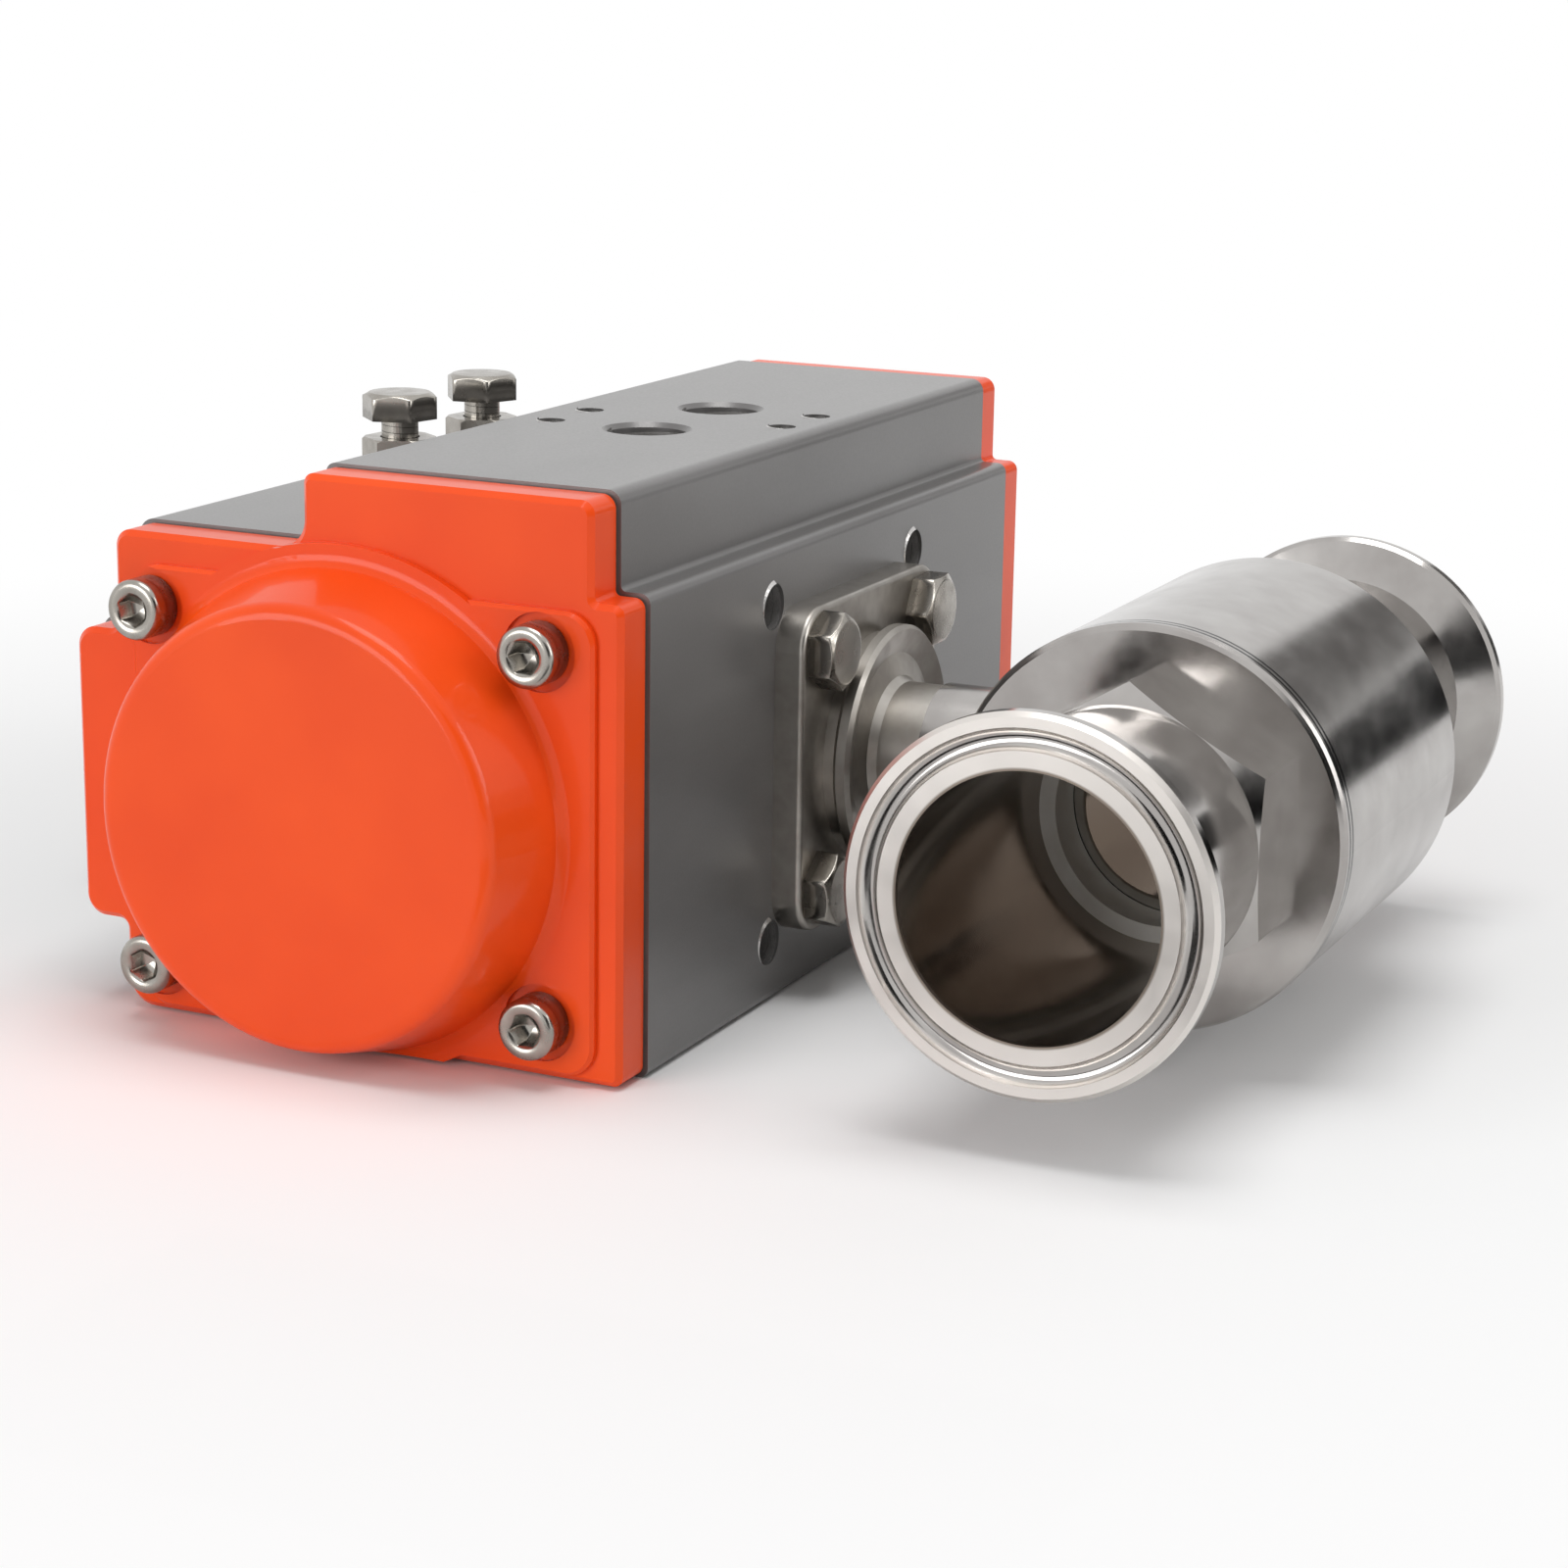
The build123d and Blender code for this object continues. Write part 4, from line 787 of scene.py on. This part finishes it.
@dataclass
class SocketScrew:
    """Socket-head cap screw with a rounded head."""

    head_mm: float = 8.5
    height_mm: float = 5.0
    shank_mm: float = 4.9
    length_mm: float = 19.0
    socket_mm: float = 4.0
    socket_depth_mm: float = 2.6
    round_mm: float = 0.9
    round_steps: int = 6
    foot_chamfer_mm: float = 0.2
    lip_mm: float = 0.15
    lip_chamfer_mm: float = 0.1
    lip_height_mm: float = 0.3
    drill_radius_mm: float = 0.2
    drill_depth_mm: float = 0.5

    def master(self, name: str) -> bpy.types.Object:
        """Builds the screw standing on its seat, with its shank below.

        Args:
            name: Name of the object.

        Returns:
            The screw at the origin.
        """
        head, shank, top = self.head_mm / 2, self.shank_mm / 2, self.height_mm
        cut = self.foot_chamfer_mm
        rings: Rings = [(shank, -self.length_mm), (shank, 0.0),
                                                    (head - cut, 0.0), (head, cut)]
        for index in range(self.round_steps):
            angle = math.pi / 2 * index / (self.round_steps - 1)
            rings.append((head - self.round_mm * (1 - math.cos(angle)),
                          top - self.round_mm * (1 - math.sin(angle))))
        lip = self.socket_mm / math.sqrt(3) + self.lip_mm
        foot = top - self.socket_depth_mm
        key = hexagonal(self.socket_mm)
        rings += [(lip + self.lip_chamfer_mm, top), (lip, top - self.lip_chamfer_mm),
                  (key, top - self.lip_height_mm), (key, foot),
                  (self.drill_radius_mm, foot - self.drill_depth_mm)]
        return lofted(name, rings)


@dataclass(frozen=True)
class Thread:
    """One size of screw thread; a negative ridge stands inwards from a hole's wall."""

    radius_mm: float
    pitch_mm: float
    length_mm: float
    ridge_share: float

    def wind(self, name: str, starts: list[Vector], along: Vector, finish: Finish, body: str,
             slot: str) -> None:
        """Winds the thread at each start.

        Args:
            name: Name of the piece.
            starts: Where each thread begins.
            along: Direction that it runs in.
            finish: Its finish.
            body: Body that it moves with.
            slot: Material slot of the record; not used.
        """
        values = {"Radius": self.radius_mm * MM, "Ridge": self.ridge_share * self.pitch_mm * MM,
                  "Pitch": self.pitch_mm * MM, "Length": self.length_mm * MM, "Direction": along,
                  "Material": finish.material()}
        piece = grown(name, starts, thread_tree(), values)
        piece.data.shade_flat()
        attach(piece, body)
        LOG.info("%s: %d faces", name, len(piece.data.polygons))


def set_fasteners(name: str, master: bpy.types.Object, places: list[Vector], out: Vector, seed: int,
                  body: str, node: str) -> None:
    """Sets fasteners in place of a CAD node's plain ones.

    Args:
        name: Name of the piece.
        master: The fastener standing on its seat at the origin. It is removed.
        places: Seats of the fasteners.
        out: Direction that the heads point in.
        seed: Seed of their turn.
        body: Body that they move with.
        node: Node that they stand for.
    """
    values = {"Fastener": master, "Direction": out, "Seed": seed, "Turn": math.tau,
              "Material": FASTENER.material()}
    piece = grown(name, places, fastener_tree(), values)
    bpy.data.objects.remove(master)
    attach(piece, body)
    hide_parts(node)
    LOG.info("%s: %d faces", name, len(piece.data.polygons))


@dataclass
class BallValve:
    """Clamp-end ball valve with its stem, packing, mounting pad and pad bolts."""

    bolt: HexBolt
    bolt_box_inset_mm: float = 5.577
    bolt_seed: int = 5

    def build(self) -> None:
        """Dresses the valve and sets its pad bolts."""
        dress({"valve_body": POLISHED, "screwed_end": POLISHED, "ball": LAPPED,
               "near_seat": FLUORO, "far_seat": FLUORO, "body_seal": FLUORO, "stem": TURNED_BAR,
               "stem_thrust_ring": FLUORO, "stem_packing": FLUORO, "gland_ring": TURNED_BAR,
               "disc_springs": FASTENER, "stem_nut": FASTENER, "mounting_pad": CAST_STEEL,
               "drive_adapter": NICKEL})
        _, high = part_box("pad_bolts")
        seat = high[0] - self.bolt.head_mm * MM
        places = corners("pad_bolts", self.bolt_box_inset_mm * MM, (1, 2), seat)
        set_fasteners("rounded_pad_bolts", self.bolt.master("pad_bolt_master"), places,
                      Vector((1, 0, 0)), self.bolt_seed, "housing", "pad_bolts")


@dataclass
class Actuator:
    """Extruded actuator with its painted caps, screws, stop bolts, ports and indicator."""

    cap_screw: SocketScrew
    stop_bolt: HexBolt
    stop_thread_mm: float = 9.0
    stop_pitch_mm: float = 1.0
    stop_ridge: float = 0.24
    stop_thread_gap_mm: float = 0.2
    screw_seed: int = 11
    port_thread: Thread = Thread(5.9, 1.337, 10.6, -0.4)
    port_chamfer_mm: float = 0.9
    small_thread: Thread = Thread(2.1, 0.8, 7.4, -0.3)
    mount_thread: Thread = Thread(3.4, 1.25, 9.8, -0.4)
    hole_chamfer_mm: float = 0.1
    port_screw_reach_mm: float = 16.0
    port_screw_step_mm: float = 12.0
    mount_circle_mm: float = 70.0
    indicator_reach_mm: tuple[float, float] = (40.0, 15.0)

    def build(self) -> None:
        """Dresses the actuator, sets its screws and cuts its threads."""
        dress({"actuator_body": ANODISED, "near_end_cap": ENAMEL, "far_end_cap": ENAMEL,
               "near_cap_gasket": GASKET, "far_cap_gasket": GASKET, "stop_lock_nuts": FASTENER,
               "stop_seal_washers": NITRILE, "position_indicator": NYLON,
               "indicator_screw": FASTENER})
        self.cap_screws("near_cap_screws", -1)
        self.cap_screws("far_cap_screws", 1)
        self.stop("closed_stop_bolt", "closed_stop")
        self.stop("open_stop_bolt", "open_stop")
        self.threads()

    def cap_screws(self, node: str, side: int) -> None:
        """Sets the four rounded screws of one cap.

        Args:
            node: Node that they stand for.
            side: -1 for the near cap and 1 for the far one.
        """
        low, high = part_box(node)
        face = high[1] if side > 0 else low[1]
        seat = face - side * self.cap_screw.height_mm * MM
        places = corners(node, self.cap_screw.head_mm / 2 * MM, (0, 2), seat)
        set_fasteners("rounded_" + node, self.cap_screw.master(node + "_master"), places,
                      Vector((0, side, 0)), self.screw_seed + side, "housing", node)

    def stop(self, node: str, body: str) -> None:
        """Sets one stop bolt and winds the thread that shows under its head.

        Args:
            node: Node that the bolt stands for.
            body: Body that it moves with.
        """
        low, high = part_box(node)
        seat = middle(node)
        seat.z = high[2] - self.stop_bolt.head_mm * MM
        bolt = replace(self.stop_bolt, length_mm=(seat.z - low[2]) / MM)
        up = Vector((0, 0, 1))
        set_fasteners("rounded_" + node, bolt.master(node + "_master"), [seat], up, len(node),
                      body, node)
        thread = Thread(bolt.shank_mm / 2, self.stop_pitch_mm, self.stop_thread_mm, self.stop_ridge)
        start = seat - up * self.stop_thread_gap_mm * MM
        thread.wind(node + "_thread", [start], -up, FASTENER, body, "bolt_steel")

    def threads(self) -> None:
        """Winds a thread into every open tapped hole."""
        up, stem = Vector((0, 0, 1)), Vector((1, 0, 0))
        surface = mount_point("port_screws_left").z
        ports = [mount_point(name) for name in ("near_air_port", "far_air_port")]
        for place in ports:
            place.z = surface - self.port_chamfer_mm * MM
        self.port_thread.wind("air_port_threads", ports, -up, TAPPED, "housing", "grey_anodised")
        centre = (ports[0] + ports[1]) / 2
        reach, step = self.port_screw_reach_mm * MM, self.port_screw_step_mm * MM
        holes = [centre + Vector(offset) for offset in ((-reach, -step, 0), (-reach, 0, 0),
                                                        (reach, 0, 0), (reach, step, 0))]
        chamfer = self.hole_chamfer_mm * MM
        for place in holes:
            place.z = surface - chamfer
        self.small_thread.wind("port_screw_threads", holes, -up, TAPPED, "housing", "grey_anodised")
        low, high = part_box("actuator_body")
        reach = self.mount_circle_mm / 2 * math.sqrt(0.5) * MM
        face = high[0] - chamfer
        spare = [Vector((face, y, z)) for y in (-reach, reach) for z in (-reach, reach)]
        self.mount_thread.wind("spare_mount_threads", spare, -stem, TAPPED, "housing",
                               "grey_anodised")
        rows, columns = (part * MM for part in self.indicator_reach_mm)
        face = low[0] + chamfer
        top = [Vector((face, y, z)) for y in (-rows, rows) for z in (-columns, columns)]
        self.small_thread.wind("indicator_face_threads", top, stem, TAPPED, "housing",
                               "grey_anodised")


@dataclass
class DriveTrain:
    """Pinion, racks, pistons and their bushes and seals."""

    steel: Finish = NICKEL
    casting: Finish = DIE_CAST
    rubber: Finish = NITRILE
    plastic: Finish = ACETAL

    def build(self) -> None:
        """Dresses the moving pieces inside the cylinder."""
        dress({"pinion": self.steel, "stop_cam": self.steel, "pinion_circlip": FASTENER,
               "near_piston": self.casting, "far_piston": self.casting,
               "lower_o_ring": self.rubber, "upper_o_ring": self.rubber,
               "near_piston_seal": self.rubber, "far_piston_seal": self.rubber,
               "lower_bush": self.plastic, "upper_bush": self.plastic,
               "pinion_thrust_washer": self.plastic, "near_guide_band": self.plastic,
               "far_guide_band": self.plastic, "near_rack_guide": self.plastic,
               "far_rack_guide": self.plastic})


# ---- Studio ----

@dataclass(frozen=True)
class Softbox:
    """Soft rectangular lamp: its place, target and size in metres, and its power in watts."""

    name: str
    place: Place
    target: Place
    size: tuple[float, float]
    power: float


@dataclass(frozen=True)
class Card:
    """Dark card that only polished metal mirrors: its place, target and size, and its colour."""

    name: str
    place: Place
    target: Place
    size: tuple[float, float]
    colour: str


@dataclass
class Studio:
    """Pale floor, white surroundings, soft lamps, dark cards and the camera."""

    position: Place = (0.14895, -0.45707, 0.12241)
    elevation: float = 14.46
    azimuth: float = 25.25
    roll: float = 0.92
    lens_mm: float = 79.4
    sensor_mm: float = 36.0
    clip: tuple[float, float] = (0.01, 50.0)
    fill: float = 0.42
    floor_colour: str = "#F4F4F4"
    floor_radius: float = 12.0
    floor_segments: int = 96
    white_from: float = 0.11
    white_to: float = 0.34
    card_roughness: float = 0.9
    lamps: tuple[Softbox, ...] = (
        Softbox("top_softbox", (0.0, -0.1, 1.1), (-0.03, 0.0, 0.0), (0.6, 0.6), 6.0),
        Softbox("left_softbox", (-0.6, -1.2, 0.3), (-0.05, 0.0, 0.0), (0.8, 0.6), 6.6),
        Softbox("right_softbox", (1.1, 0.1, 0.5), (0.0, 0.0, 0.0), (0.4, 0.8), 4.0))
    cards: tuple[Card, ...] = (
        Card("right_black_card", (0.38, 0.75, 0.03), (0.38, 0.0, 0.03), (0.34, 0.24), "#050505"),
        Card("back_grey_card", (0.22, 1.0, 0.35), (0.22, 0.0, 0.35), (0.36, 0.28), "#7C7A79"),
        Card("floor_dark_card", (-0.02, -0.165, -0.0335), (-0.02, -0.165, -1.0), (0.12, 0.06),
             "#1B1A1A"),
        Card("front_black_card", (0.75, -0.8, 0.3), (0.0, 0.0, 0.0), (0.8, 0.9), "#0B0B0C"))

    def build(self) -> None:
        """Sets the camera, the floor, the world, the lamps and the cards."""
        self.camera()
        self.floor()
        self.world()
        for box in self.lamps:
            self.lamp(box)
        for board in self.cards:
            self.card(board)

    def camera(self) -> None:
        """Places the camera."""
        lens = bpy.data.cameras.new("view")
        lens.sensor_width = self.sensor_mm
        lens.lens = self.lens_mm
        lens.clip_start, lens.clip_end = self.clip
        a, e, r = (math.radians(v) for v in (self.azimuth, self.elevation, self.roll))
        back = Vector((math.sin(a) * math.cos(e), -math.cos(a) * math.cos(e), math.sin(e)))
        right = Vector((0, 0, 1)).cross(back).normalized()
        up = back.cross(right)
        tilted_right = math.cos(r) * right + math.sin(r) * up
        tilted_up = math.cos(r) * up - math.sin(r) * right
        holder = bpy.data.objects.new("view", lens)
        turn = Matrix((tilted_right, tilted_up, back)).transposed().to_4x4()
        holder.matrix_world = Matrix.Translation(self.position) @ turn
        bpy.context.scene.collection.objects.link(holder)
        bpy.context.scene.camera = holder

    def floor(self) -> None:
        """Lays a wide matt floor that turns plain white away from the object."""
        mesh = bpy.data.meshes.new("studio_floor")
        build = bmesh.new()
        bmesh.ops.create_circle(build, cap_ends=True, segments=self.floor_segments,
                                radius=self.floor_radius)
        build.to_mesh(mesh)
        build.free()
        floor = bpy.data.objects.new("studio_floor", mesh)
        floor.location = ((CAD_BOX[0][0] + CAD_BOX[1][0]) / 2, 0.0, CAD_BOX[0][2])
        bpy.context.scene.collection.objects.link(floor)
        material = bpy.data.materials.new("matt_white_card")
        material.use_nodes = True
        tree = material.node_tree
        tree.nodes.clear()
        card = add_node(tree, "ShaderNodeBsdfPrincipled",
                        {"Base Color": linear(self.floor_colour), "Roughness": self.card_roughness,
                         "Specular IOR Level": 0.1})
        white = add_node(tree, "ShaderNodeEmission", {"Color": linear("#FFFFFF"), "Strength": 1.0})
        point = add_node(tree, "ShaderNodeTexCoord").outputs["Object"]
        reach = add_node(tree, "ShaderNodeVectorMath", {0: point}, operation="LENGTH")
        away = add_node(tree, "ShaderNodeMapRange",
                        {"Value": reach.outputs["Value"], "From Min": self.white_from,
                         "From Max": self.white_to},
                        interpolation_type="SMOOTHSTEP")
        seen = self.seen(tree)
        amount = add_node(tree, "ShaderNodeMath", {0: away.outputs["Result"], 1: seen},
                          operation="MULTIPLY")
        both = add_node(tree, "ShaderNodeMixShader",
                        {0: amount.outputs[0], 1: card.outputs[0], 2: white.outputs[0]})
        add_node(tree, "ShaderNodeOutputMaterial", {"Surface": both.outputs[0]})
        mesh.materials.append(material)

    def seen(self, tree: Tree) -> Socket:
        """Tells rays that show the background from rays that light the object.

        Args:
            tree: Tree of a stage material or of the world.

        Returns:
            Socket with 1 for camera, mirror and transmission rays.
        """
        path = add_node(tree, "ShaderNodeLightPath")
        first = add_node(tree, "ShaderNodeMath",
                         {0: path.outputs["Is Camera Ray"], 1: path.outputs["Is Glossy Ray"]},
                         operation="MAXIMUM")
        both = add_node(tree, "ShaderNodeMath",
                        {0: first.outputs[0], 1: path.outputs["Is Transmission Ray"]},
                        operation="MAXIMUM")
        return both.outputs[0]

    def world(self) -> None:
        """Shows plain white and fills the shadows with an even pale light."""
        world = bpy.data.worlds.new("studio")
        world.use_nodes = True
        tree = world.node_tree
        tree.nodes.clear()
        level = add_node(tree, "ShaderNodeMath",
                         {0: self.seen(tree), 1: 1 - self.fill, 2: self.fill},
                         operation="MULTIPLY_ADD")
        glow = add_node(tree, "ShaderNodeBackground",
                        {"Color": linear("#FFFFFF"), "Strength": level.outputs[0]})
        add_node(tree, "ShaderNodeOutputWorld", {"Surface": glow.outputs[0]})
        bpy.context.scene.world = world

    def facing(self, holder: bpy.types.Object, place: Place, target: Place) -> None:
        """Turns a lamp or a card towards a target and puts it in the scene.

        Args:
            holder: Object to place.
            place: Its centre in metres.
            target: Point that it faces.
        """
        back = Vector(place) - Vector(target)
        turn = back.to_track_quat("Z", "Y").to_matrix().to_4x4()
        holder.matrix_world = Matrix.Translation(place) @ turn
        bpy.context.scene.collection.objects.link(holder)

    def lamp(self, box: Softbox) -> None:
        """Hangs one soft lamp.

        Args:
            box: The lamp's sizes.
        """
        light = bpy.data.lights.new(box.name, "AREA")
        light.shape = "RECTANGLE"
        light.size, light.size_y = box.size
        light.energy = box.power
        self.facing(bpy.data.objects.new(box.name, light), box.place, box.target)

    def card(self, board: Card) -> None:
        """Stands one card where the camera and matt surfaces don't see it.

        Args:
            board: The card's sizes and colour.
        """
        mesh = bpy.data.meshes.new(board.name)
        build = bmesh.new()
        bmesh.ops.create_grid(build, x_segments=1, y_segments=1, size=0.5)
        build.to_mesh(mesh)
        build.free()
        mesh.transform(Matrix.Diagonal((*board.size, 1.0, 1.0)))
        material = bpy.data.materials.new(board.name)
        material.use_nodes = True
        tree = material.node_tree
        tree.nodes.clear()
        matt = add_node(tree, "ShaderNodeBsdfPrincipled",
                        {"Base Color": linear(board.colour), "Roughness": self.card_roughness,
                         "Specular IOR Level": 0.0})
        add_node(tree, "ShaderNodeOutputMaterial", {"Surface": matt.outputs[0]})
        mesh.materials.append(material)
        holder = bpy.data.objects.new(board.name, mesh)
        holder.visible_camera = False
        holder.visible_diffuse = False
        holder.visible_shadow = False
        self.facing(holder, board.place, board.target)


def main() -> None:
    """Builds the looks in order."""
    logging.basicConfig(level=logging.INFO, format="%(name)s: %(message)s")
    bpy.context.scene.view_settings.view_transform = "Standard"
    pad_bolt = HexBolt(flats_mm=10.0, head_mm=4.0, shank_mm=5.9, length_mm=11.9)
    stop_bolt = HexBolt(flats_mm=10.0, head_mm=4.0, shank_mm=5.5, length_mm=0.0, tip_mm=4.0,
                        tip_length_mm=3.0)
    BallValve(pad_bolt).build()
    Actuator(SocketScrew(), stop_bolt).build()
    DriveTrain().build()
    Studio().build()


if __name__ == "__main__":
    main()
